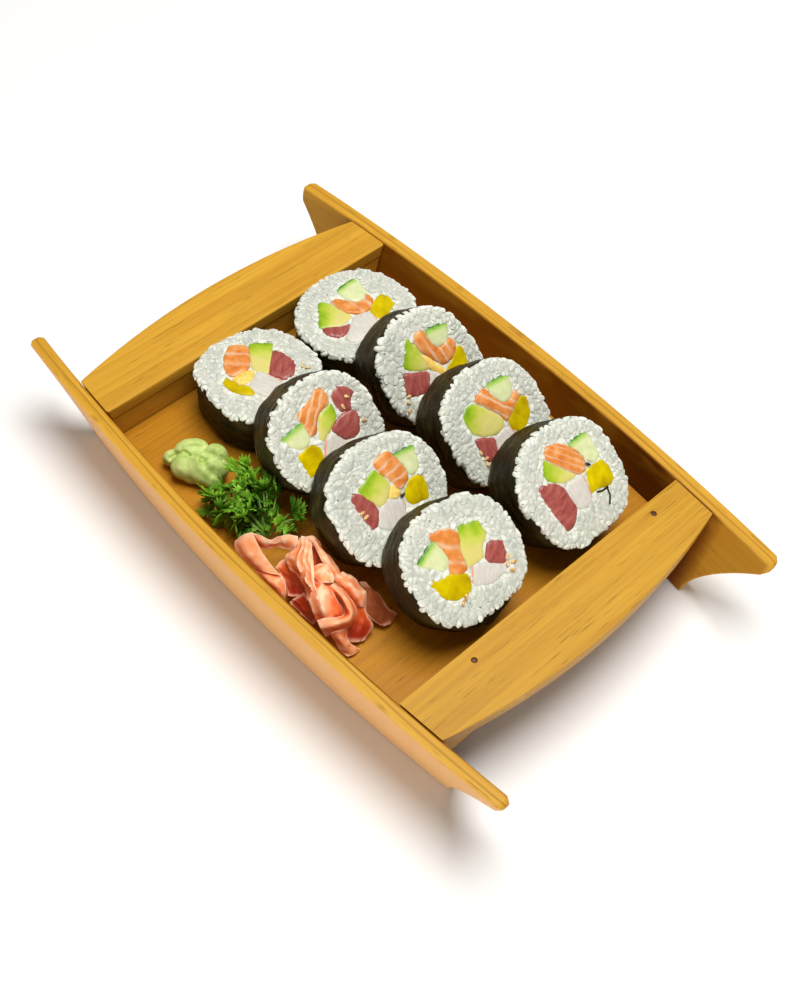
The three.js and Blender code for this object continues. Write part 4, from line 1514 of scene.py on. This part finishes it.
# A lobe's outline, round from its foot, as shares of its width and length. The last two points
# are its rib.
LOBE = [(0, 0), (-0.35, 0.3), (-0.95, 0.55), (-0.85, 0.82), (-0.3, 0.78), (0, 1.0), (0.34, 0.76),
        (0.95, 0.86), (0.85, 0.52), (0.32, 0.3), (0, 0.3), (0, 0.6)]
LOBE_FACES = ((0, 1, 10), (0, 10, 9), (1, 2, 11, 10), (10, 11, 8, 9), (2, 3, 11), (3, 4, 11),
              (4, 5, 11), (5, 6, 11), (6, 7, 11), (7, 8, 11))


def leaflet(seed):
    """One curly leaflet, with its foot at the middle, growing along +Z, in metres."""
    rng = random.Random(seed)
    work = bmesh.new()
    for fan in LOBE_ANGLES:
        turn = math.radians(fan + rng.uniform(-8, 8))
        length = (LEAFLET - 2.0 * abs(fan) / 78) * rng.uniform(0.85, 1.15)
        wide = rng.uniform(1.15, 1.55)
        curl = rng.uniform(0.05, 0.16)
        dip = rng.uniform(-0.9, 0.9)
        verts = []
        for across, run in LOBE:
            side, reach = across * wide, run * length
            x = side * math.cos(turn) + reach * math.sin(turn)
            z = -side * math.sin(turn) + reach * math.cos(turn)
            crease = 0.42 * abs(side) + curl * reach * reach * 0.5 + dip * run
            verts.append(work.verts.new((x * mm, crease * mm, (z + 0.2) * mm)))
        for f in LOBE_FACES:
            work.faces.new([verts[i] for i in f])
    mesh = mesh_of(work, f"leaflet_{seed}")
    tips = mesh.attributes.new("tip", "FLOAT", "POINT")
    tips.data.foreach_set("value", [min(1.0, v.co.length / (LEAFLET * mm)) for v in mesh.vertices])
    mesh = modified(mesh.name, mesh, ("SOLIDIFY", {"thickness": LEAF_THICK, "offset": 0.0}))
    mesh.shade_smooth()
    return bpy.data.objects.new(mesh.name, mesh)


leaf_kinds = bpy.data.collections.new("leaflets")
for seed in (4, 9, 15):
    leaf_kinds.objects.link(leaflet(seed))

# %% Parsley tufts
LEAF_DENSITY = 2e6  # leaflets on a square metre, before the spacing thins them
LEAF_SIZES = (0.75, 1.2)  # scale of the smallest and of the largest
TUFTS = [  # middle and half sizes of each dome, in mm
    ((-28.8, -47.8, 36.0), (2.0, 1.7, 2.0)),
    ((-29.4, -52.4, 34.6), (2.0, 1.8, 2.0)),
    ((-23.4, -46.8, 36.4), (2.2, 1.6, 2.0)),
    ((-25.2, -53.4, 37.0), (2.8, 2.4, 2.4)),
    ((-18.6, -48.4, 35.6), (2.2, 1.8, 2.0)),
    ((-14.0, -47.4, 34.0), (1.8, 1.5, 1.6)),
    ((-17.2, -54.4, 36.0), (2.6, 2.4, 2.4)),
    ((-11.8, -51.4, 32.4), (1.8, 1.6, 1.8)),
    ((-23.0, -59.0, 36.4), (2.8, 2.4, 2.4)),
    ((-28.4, -62.6, 33.4), (2.6, 2.2, 2.2)),
    ((-30.0, -66.2, 29.6), (2.2, 2.0, 2.0)),
    ((-23.6, -66.2, 29.6), (2.4, 2.2, 2.0)),
    ((-20.2, -63.2, 33.4), (2.4, 2.2, 2.2)),
    ((-15.6, -60.0, 34.0), (2.4, 2.2, 2.2)),
    ((-12.2, -56.4, 32.0), (1.9, 1.7, 1.8)),
    ((-14.4, -65.0, 28.8), (2.2, 1.8, 1.8)),
    ((-12.2, -61.6, 30.6), (1.9, 1.7, 1.7)),
]
SIDE_TUFTS = [  # the small sprig on the right
    ((-5.4, -48.6, 32.6), (2.0, 1.7, 1.7)),
    ((-3.0, -49.4, 30.4), (1.8, 1.6, 1.6)),
    ((-1.8, -46.6, 31.8), (1.9, 1.6, 1.6)),
]
ALL_TUFTS = TUFTS + SIDE_TUFTS
LEAF_FLOOR = 23.6 * mm


def leaf_tree():
    """Stands leaflets from a collection over a bed, spun and then tipped at random."""
    grow = Growth("stand_leaves", "Tufts", Bed="Geometry", Leaves="Collection", Spacing="Float",
                  Tip="Float", Seed="Int", Finish="Material")
    given = grow.given
    deal = grow.dealt(LEAF_DENSITY)
    kinds = grow.add("GeometryNodeCollectionInfo", Collection=given["Leaves"], Separate_Children=True,
                     Reset_Children=True).outputs[0]
    less = grow.minus(given["Tip"])
    angles = grow.add("FunctionNodeRandomValue", {"data_type": "FLOAT_VECTOR"}, Seed=given["Seed"])
    lowest = grow.vector(X=less, Y=less)
    highest = grow.vector(X=given["Tip"], Y=given["Tip"], Z=math.tau)
    grow.feed(angles, {0: lowest, 1: highest})
    x, y, z = grow.add("ShaderNodeSeparateXYZ", Vector=angles.outputs[0]).outputs
    spun = grow.turned(deal["Rotation"], Z=z)
    tipped = grow.turned(spun, X=x, Y=y)
    size = grow.chance(*LEAF_SIZES)
    return grow.finished(grow.stood(deal["Points"], kinds, tipped, size, Pick_Instance=True))


def tuft_bed():
    """Small domes, one for each tuft, on which the leaflets stand."""
    work = bmesh.new()
    for centre, half in ALL_TUFTS:
        made = bmesh.ops.create_icosphere(work, subdivisions=2, radius=1)
        shape = Matrix.Scale(mm, 4) @ Matrix.Translation(centre) @ Matrix.Diagonal((*half, 1))
        bmesh.ops.transform(work, matrix=shape, verts=made["verts"])
    return mesh_of(work, "tuft_bed")


leaf_green = Finish("parsley", Roughness=0.38, Specular_IOR_Level=0.4, Specular_Tint=(0.9, 1.0, 0.5, 1),
                    Subsurface_Weight=0.1, Subsurface_Radius=(0.5, 1.0, 0.2), Subsurface_Scale=0.8 * mm)
blade_noise = leaf_green.noise(600)
# The leaflets are painted lighter towards their tips, a painted highlight, and darker at their feet deep in
# the tuft, painted shade. The tone of each leaflet and the noise differ at random.
lightness = leaf_green.total((leaf_green.own("tip", "Fac"), 0.45), (leaf_green.own("tone", "Fac"), 0.35),
                             (blade_noise, 0.25))
leaf_green.colour(leaf_green.ramp(lightness, (0.28, (0.013, 0.095, 0.001)), (1.0, (0.29, 0.60, 0.035))))
leaf_green.bump(blade_noise, 0.2 * mm, 0.4)

leaves = grown("parsley_leaves", tuft_bed(), leaf_tree(), Leaves=leaf_kinds, Spacing=3.0 * mm, Tip=0.9,
               Seed=6, Finish=leaf_green.material)
lifted(leaves, LEAF_FLOOR)
add_piece("parsley_leaves", leaves, leaf_green.material, "parsley", "parsley")
print("parsley leaves:", len(leaves.polygons), "faces")

# %% [markdown]
# ## Inside the sprig
# Between the leaves the eye meets more leaves in shade, not the floor. A small dark core in
# each tuft stands for them. A round stalk, bent a little upwards, runs from the foot of the
# sprig to the middle of every tuft.

# %% Parsley core and stalks
STALK_FOOT, SIDE_FORK = (-6.0, -58.5, 26.0), (-5.6, -51.6, 29.8)
STALK_SIDES, STALK_TAPER, STALK_ARCH = 8, 0.45, 1.5

inner_lobes = [(centre, tuple(0.4 * h for h in half), 0) for centre, half in ALL_TUFTS]
inner = melted("parsley_core", inner_lobes, 0.5 * mm, 2)
inner.shade_smooth()
deep_green = Finish("parsley_core", Roughness=0.7, Base_Color=(0.03, 0.13, 0.006, 1))
deep_green.bump(deep_green.noise(500), 0.8 * mm, 0.8)
add_piece("parsley_core", inner, deep_green.material, "parsley")


def stalk(start, stop, thick):
    """A round stalk from one place to another, arched upwards and thinner towards its end."""
    foot, end = Vector(start), Vector(stop)
    middle = (foot + end) / 2 + Vector((0, 0, STALK_ARCH))
    shares = (0, 0.2, 0.4, 0.6, 0.8, 1)
    line = [(1 - t) ** 2 * foot + 2 * t * (1 - t) * middle + t * t * end for t in shares]
    made, last = [], len(line) - 1
    for i, here in enumerate(line):
        run = (line[min(i + 1, last)] - line[max(i - 1, 0)]).normalized()
        side = run.cross(Vector((0, 0, 1))).normalized()
        up = side.cross(run)
        radius = thick * (1 - STALK_TAPER * i / last)
        for a in around(STALK_SIDES):
            made.append(tuple(here + (side * math.cos(a) + up * math.sin(a)) * radius))
    ends = [tuple(reversed(range(STALK_SIDES))), tuple(last * STALK_SIDES + j for j in range(STALK_SIDES))]
    return made, ring_faces(STALK_SIDES, len(line)) + ends


runs = [(STALK_FOOT, centre, 0.6) for centre, half in TUFTS]
runs += [(STALK_FOOT, SIDE_FORK, 0.5)] + [(SIDE_FORK, centre, 0.4) for centre, half in SIDE_TUFTS]
stalks = mesh_from("parsley_stalks", *joined(stalk(*run) for run in runs), Matrix.Scale(mm, 4))
stem_green = Finish("parsley_stalks", Roughness=0.4, Subsurface_Weight=0.2,
                    Subsurface_Radius=(0.5, 1.0, 0.2), Subsurface_Scale=1.0 * mm)
stem_green.colour(stem_green.ramp(stem_green.noise(300, 2.0), (0.3, (0.10, 0.26, 0.02)),
                                  (0.7, (0.24, 0.44, 0.06))))
add_piece("parsley_stalks", stalks, stem_green.material, "parsley")
print("parsley stalks:", len(runs))

# %% [markdown]
# ## Pickled ginger
# Thin slices of ginger are folded into a loose heap. Each slice is drawn as a coarse grid: rows
# of three points across the slice, one row after another along it. Smooth curves through
# the grid both ways give the surface, a few pleats are pressed into it, and a Solidify
# modifier gives it the thickness of a slice.

# %% Ginger folds
# How many pleats, how deep they are in mm, how dark its painted shade is at its start and at
# its end, then the rows of points.
GINGER_FOLDS = {
    "strip_top": (0, 0, (0, 0), [
        [(-9, -72.2, 33), (-7.4, -69.7, 36.5), (-4.8, -66.6, 38.5)],
        [(-7.4, -73.6, 32.5), (-3.2, -72, 36.5), (-0.7, -68.1, 38.5)],
        [(-3.6, -74.5, 32.5), (0.3, -72.8, 36), (3.2, -69, 37.5)],
        [(0.5, -74.4, 32.5), (4.6, -72.6, 35.5), (8, -69.6, 36.5)],
        [(3.1, -73.9, 32.5), (8.5, -72.7, 35), (12.8, -69.9, 36)],
        [(4.3, -73.8, 32.3), (10.5, -72.8, 34.8), (15.5, -69.7, 35.6)]]),
    "strip_end": (0, 0, (0, 0), [
        [(1.9, -72.9, 31.5), (7.9, -71.7, 33.6), (14, -68.8, 34.4)],
        [(6.3, -73.9, 31.2), (12.4, -73.3, 34), (16.6, -69.4, 34.3)],
        [(11, -73.8, 30.6), (16.2, -73.3, 33.6), (18.5, -69.9, 33)],
        [(15.6, -73.4, 29.6), (18.7, -72.8, 32), (20, -71.2, 31)],
        [(18.3, -72.8, 28), (20.1, -72.9, 29.5), (20.8, -72.4, 29)]]),
    "arch": (1, 0.3, (0, 0), [
        [(-4.9, -67.1, 38.6), (-3.8, -66.9, 37.5), (-3, -66.9, 35.5)],
        [(-1.9, -65, 38.2), (-1.1, -66.3, 37), (-0.3, -66.5, 34)],
        [(1.7, -63.2, 37.6), (2.1, -64.6, 36.4), (2.1, -65.8, 34)],
        [(2.9, -60.5, 38.5), (3.9, -61.8, 36.8), (4.1, -62.6, 34.5)],
        [(5, -57.4, 39), (7, -59.1, 38.4), (7.2, -60.3, 35)],
        [(8.5, -55.5, 40), (10.7, -57.4, 39.5), (10.5, -59.4, 36)]]),
    "fan": (3, 0.8, (0, 0), [
        [(9.3, -55.7, 40), (11.1, -54.5, 42), (13.9, -53.7, 42.5)],
        [(10.5, -58.8, 38.5), (14.8, -58.2, 42), (17.7, -56.5, 43)],
        [(10.2, -62.9, 36.5), (17.1, -61.8, 41.5), (21.7, -59.4, 43)],
        [(13, -64.5, 35), (20.2, -63.9, 40.5), (25, -61.7, 42.5)],
        [(19.2, -64.6, 35.5), (24, -65, 39.5), (28.2, -64.1, 42)],
        [(25.2, -65.7, 35.5), (28.6, -66.6, 39), (31.4, -66.4, 41.5)],
        [(30.2, -68.9, 35), (32.8, -69.1, 38.5), (35, -68.2, 41)]]),
    "strand": (0, 0, (0, 0), [
        [(11.5, -54.8, 42.5), (13.5, -52.8, 43.4), (15.9, -51.3, 41)],
        [(15.2, -54.5, 43.2), (17.5, -53.8, 43.8), (19.5, -52.4, 40.5)],
        [(19.6, -55.6, 42.8), (22.1, -54.8, 43.2), (23.5, -52.8, 40)],
        [(24, -57, 42.5), (26.2, -55.8, 42.8), (27.3, -53.5, 39.5)],
        [(27.4, -57.5, 41.8), (29.4, -55.8, 41.8), (30, -53.5, 38.5)],
        [(30.8, -58.1, 40.5), (32.7, -56, 40.5), (32.4, -53.4, 37.5)]]),
    "cavity": (0, 0, (0.5, 0.5), [
        [(12.1, -55.3, 39), (13.7, -52.9, 38.5), (16.5, -50.9, 39)],
        [(16.2, -57.8, 38), (18.2, -55.7, 37.5), (21.1, -52.8, 38)],
        [(21.2, -61, 38), (23.8, -58.4, 38.5), (26.8, -54.5, 38)],
        [(26.1, -64.1, 38), (29.4, -61.7, 39.5), (31.2, -56.7, 38)]]),
    "knot": (1, 0.5, (0, 0), [
        [(23.4, -60, 41.5), (24.6, -58.1, 42.8), (26.9, -56.8, 42.2)],
        [(25.1, -62, 41.5), (27.5, -60.1, 43.4), (29.8, -57.5, 42.8)],
        [(27.2, -63, 41.2), (30.1, -61.6, 43.6), (32, -58.4, 42.4)],
        [(29.8, -63.1, 41), (32.1, -62.2, 42.8), (33, -59.8, 41.4)]]),
    "right_sheet": (1, 0.3, (0, 0), [
        [(31.4, -58, 39.5), (31.7, -56.2, 41), (30.4, -52.8, 38)],
        [(34.6, -57.6, 38.5), (35.4, -55.1, 39.8), (33.4, -50.4, 36)],
        [(37.5, -56.8, 36.5), (38.9, -54.4, 38), (36.7, -49.4, 34)],
        [(40.2, -56.4, 34), (42.1, -54.4, 35.8), (40.3, -49.8, 32.5)],
        [(42.4, -55.6, 32), (44.1, -54.9, 33), (43.1, -52.9, 31.5)]]),
    "loop": (0, 0, (0, 0), [
        [(32.7, -59, 39.5), (33.6, -60.8, 41.5), (33.1, -61.5, 40.5)],
        [(35.7, -57.8, 38.5), (37.2, -60.9, 42.2), (35.3, -61.1, 39)],
        [(39.3, -57.4, 37.5), (40.9, -61.1, 42), (38.2, -60.9, 37.5)],
        [(43, -58, 36.5), (44.4, -61.8, 41), (41.3, -61.2, 36)],
        [(45.6, -59.4, 35), (46.6, -62.9, 39.8), (42.9, -62.1, 35)],
        [(47.1, -61.5, 33), (47.5, -64.7, 38.6), (43.4, -64.8, 36.4)],
        [(47.1, -64.7, 32), (46.5, -67.3, 37.4), (42.2, -67.7, 37.2)],
        [(45.6, -68.1, 31), (44.8, -70.6, 36.6), (40.5, -70.5, 37.2)],
        [(43.3, -72.3, 30), (42.2, -73.3, 35), (39.2, -72.5, 36.2)]]),
    "loop_inside": (2, 0.5, (0, 0), [
        [(26.6, -63.5, 39.5), (29.3, -62.2, 41), (32.1, -60, 40.2)],
        [(29.8, -67.1, 39.5), (33.4, -65.2, 42), (35.8, -61.7, 40)],
        [(32.2, -70.1, 38), (36.8, -67.6, 41), (39.1, -61.7, 37.6)],
        [(35.6, -71.5, 36), (39.6, -68.9, 39), (41.9, -61.9, 35)],
        [(39.2, -71.7, 33), (42, -68.9, 35), (43.6, -63.7, 32.5)]]),
    "tongue": (1, 0.3, (0, 0), [
        [(44.4, -70.9, 32.5), (46.2, -68.8, 34), (46.4, -64.6, 32)],
        [(46.3, -70.8, 30), (48.2, -69.3, 31.6), (48.2, -66.4, 30)],
        [(48.4, -70.5, 27.6), (50.2, -68.9, 29), (50.4, -66.4, 28)],
        [(50.5, -70.1, 25), (52.4, -68, 26), (53, -64.7, 25.4)],
        [(52.8, -69.4, 24), (53.8, -67.1, 24.4), (53.6, -63.6, 24.2)]]),
    "under_right": (3, 0.7, (0.45, 0.95), [
        [(35.9, -55.3, 33), (40.2, -54.7, 33), (43.8, -53.5, 31.5)],
        [(39.8, -58.1, 31.5), (43.8, -56.7, 31), (47.4, -54.4, 29)],
        [(43.1, -61.6, 30), (46.7, -58.7, 29), (49.7, -54.2, 27)],
        [(45.5, -64.2, 28), (48.6, -60.9, 27.4), (50.7, -56.1, 25.5)],
        [(48.2, -66.5, 26), (50.5, -64.1, 25.5), (51.8, -60.9, 24.4)]]),
    "right_slice": (2, 0.5, (1.3, 1.2), [
        [(34.7, -47.4, 31), (36.1, -46.3, 32), (37.9, -45.3, 30)],
        [(39.5, -49.3, 31), (41.2, -47.3, 31), (42.5, -44.9, 28.5)],
        [(42.7, -52.4, 30.5), (45.2, -49.1, 30), (46.3, -45, 27)],
        [(44.7, -54.2, 29.5), (48.2, -50.1, 28.5), (50.1, -44.4, 25.5)],
        [(48.2, -53.4, 27.5), (50.6, -50.5, 26.5), (51.3, -43.8, 24.8)],
        [(51.3, -51.7, 25.5), (52.7, -50.2, 25.2), (52.4, -48.2, 24.6)]]),
    "hollow": (2, 0.5, (0.3, 1), [
        [(9.3, -67.8, 32), (9.1, -64.4, 33), (10.7, -61.7, 34)],
        [(13, -66.9, 29), (15.3, -64.5, 30), (19.3, -62.5, 32)],
        [(16.7, -68.4, 28), (19.3, -66.3, 29), (23.6, -64, 31)],
        [(20.5, -70.6, 28), (23.8, -68.5, 29), (28.4, -66.5, 31)]]),
    "low_ridge": (2, 0.6, (0.85, 0.8), [
        [(22.8, -71.7, 28), (23.6, -70, 29.5), (24.9, -66.2, 31)],
        [(26.4, -71.8, 27.5), (27.6, -69.6, 30), (29.1, -67.4, 32)],
        [(31, -71.5, 27.5), (32.2, -69.8, 30.5), (33.2, -68.6, 33)],
        [(35.1, -70.7, 26.5), (36.2, -70.1, 29.5), (37.3, -69.5, 32)]]),
}
print("points drawn for the ginger:", sum(len(row) for fold in GINGER_FOLDS.values() for row in fold[3]))

# %% Ginger surfaces
ROW_STEPS, LINE_STEPS = 7, 8  # points from one drawn point to the next, across and along


def sheet_grid(pleats, pleat_depth, rows, seed):
    """Points of a sheet as a grid, in mm, with its pleats, and how sharp a crest each lies on."""
    fine = [smooth_row([Vector(p) for p in row], ROW_STEPS) for row in rows]
    lines = [smooth_row(list(line), LINE_STEPS) for line in zip(*fine)]
    grid = np.array([[tuple(p) for p in row] for row in zip(*lines)])
    normal = np.cross(np.gradient(grid, axis=0), np.gradient(grid, axis=1))
    normal /= np.linalg.norm(normal, axis=2, keepdims=True) + 1e-9
    normal *= -1 if normal[:, :, 2].mean() < 0 else 1
    long, wide = grid.shape[:2]
    push, crest = np.zeros((long, wide)), np.zeros((long, wide))
    for i in range(long):
        for j in range(wide):
            x, y, z = grid[i, j]
            drift = relief(x / 7, y / 7, z / 7, seed)
            wave = math.sin(math.pi * (pleats * j / (wide - 1) + 0.9 * drift))
            ridge = (1 - abs(wave)) ** 2 if pleats else 0.0
            fine_fold = relief(x / 2.4, y / 2.4, z / 2.4, seed + 1)
            push[i, j] = pleat_depth * ridge + 0.9 * drift + 0.3 * fine_fold
            crest[i, j] = 0.5 * ridge + (1.2 if pleats else 0.6) * max(fine_fold, 0)
    return grid + normal * push[:, :, None], crest


def grid_faces(long, wide):
    corners = [i * wide + j for i in range(long - 1) for j in range(wide - 1)]
    return [(a, a + 1, a + wide + 1, a + wide) for a in corners]


grids = {name: sheet_grid(pleats, depth, rows, seed)
         for seed, (name, (pleats, depth, shade, rows)) in enumerate(GINGER_FOLDS.items())}
print("ginger sheets:", len(grids), "with", sum(crest.size for grid, crest in grids.values()), "points")

# %% [markdown]
# ## Painted shade and glow in the heap
# Where the slices lie over each other they shade each other, and light that soaks in comes out
# orange-red. Rays are sent up from every point of the sheets, and the share of them that meets
# another sheet is kept as the point's depth in the heap. The finish is painted from pink to deep
# red with it, as painted shade, and a faint glow of the same colour, painted light, stands for
# light that has passed through several slices.

# %% Depth in the heap
RAY_RINGS = ((0.45, 8), (0.95, 5), (1.4, 2))  # slope of the rays and how many go round
RAY_START, RAY_LENGTH = 0.9, 15  # mm from the sheet, and mm that a ray reaches
RAYS = [Vector((math.cos(a) * math.cos(slope), math.sin(a) * math.cos(slope), math.sin(slope)))
        for slope, count in RAY_RINGS for a in around(count)]

sheets = [([tuple(p) for p in grid.reshape(-1, 3)], grid_faces(*grid.shape[:2]))
          for grid, crest in grids.values()]
heap = BVHTree.FromPolygons(*joined(sheets))


def depth_in_heap(spot):
    met = sum(heap.ray_cast(spot + ray * RAY_START, ray, RAY_LENGTH)[0] is not None for ray in RAYS)
    return met / len(RAYS)


print("rays from each point:", len(RAYS))

# %% Ginger sheets
GINGER_THICK = 0.5 * mm
GINGER_FLOOR = 23.35 * mm
BOARD_GAP = 0.25 * mm  # room left to the port side board


def ginger_sheet(name, grid, crest, shade):
    """One slice as a mesh, whose points carry: nearness to the edge, painted shade from its depth in the
    heap or as given, crest.
    """
    long, wide = grid.shape[:2]
    marks = []
    for i in range(long):
        for j in range(wide):
            along, across = i / (long - 1), j / (wide - 1)
            edge = min(across, 1 - across, along, 1 - along)
            given = shade[0] + (shade[1] - shade[0]) * along
            marks.append((edge, max(given, depth_in_heap(Vector(grid[i, j]))), crest[i, j]))
    mesh = mesh_from("ginger_" + name, grid.reshape(-1, 3), grid_faces(long, wide), Matrix.Scale(mm, 4))
    set_vectors(mesh, "marks", marks)
    mesh = modified(mesh.name, mesh, ("SOLIDIFY", {"thickness": GINGER_THICK, "offset": 0.0}),
                    ("BEVEL", {"width": 0.18 * mm, "segments": 2}), ("SUBSURF", {"levels": 1}))
    lifted(mesh, GINGER_FLOOR)
    co = points_of(mesh)
    limit = np.array([inner_half(x, z) for x, y, z in co]) - BOARD_GAP
    co[:, 1] = np.maximum(co[:, 1], -limit)
    mesh.vertices.foreach_set("co", co.ravel())
    mesh.shade_smooth()
    return mesh


# %% Ginger finish
# The emission is painted light: a faint orange-red glow for light that has passed through several slices.
ginger = Finish("pickled_ginger", Roughness=0.3, Specular_IOR_Level=0.4, Specular_Tint=(1.0, 0.5, 0.3, 1),
                Subsurface_Weight=0.3, Subsurface_Radius=(1.0, 0.3, 0.12), Subsurface_Scale=2.0 * mm,
                Emission_Strength=0.07, Emission_Color=(1.0, 0.22, 0.07, 1))
edge, deep, crest = ginger.split(ginger.own("marks"))
threads = ginger.noise(620)
blush = ginger.noise(85, 2.0)
rose = ginger.ramp(blush, (0.3, (1.0, 0.30, 0.11)), (0.5, (1.0, 0.40, 0.18)), (0.7, (0.98, 0.44, 0.25)))
rose = ginger.mix(ginger.span(threads, 0.4, 0.75, 0.0, 0.25), rose, (1.0, 0.58, 0.36))
# Painted highlight: a paler colour on the crests of the pleats and folds.
rose = ginger.mix(ginger.span(crest, 0.1, 0.55, 0.0, 0.7), rose, (1.0, 0.68, 0.46))
# Painted shade: pink turns orange-red, then deep red, with depth in the heap, and brown where a sheet is
# given more than 1.
soaked = ginger.mix(ginger.span(deep, 0.12, 0.42), rose, (0.90, 0.15, 0.03))
soaked = ginger.mix(ginger.span(deep, 0.42, 0.78), soaked, (0.30, 0.005, 0.0))
soaked = ginger.mix(ginger.span(deep, 1.02, 1.2), soaked, (0.18, 0.038, 0.010))
ginger.colour(ginger.mix(ginger.span(edge, 0.0, 0.12, 0.75, 0.0), soaked, (1.0, 0.60, 0.40)))
ginger.rough(ginger.span(deep, 0.4, 0.9, 0.3, 0.55))
ginger.bump(threads, 0.25 * mm, 0.35)

for name, (pleats, depth, shade, rows) in GINGER_FOLDS.items():
    sheet = ginger_sheet(name, *grids[name], shade)
    add_piece(sheet.name, sheet, ginger.material, "pickled_ginger", "pickled_ginger")
print("faces of the last ginger sheet:", len(sheet.polygons))
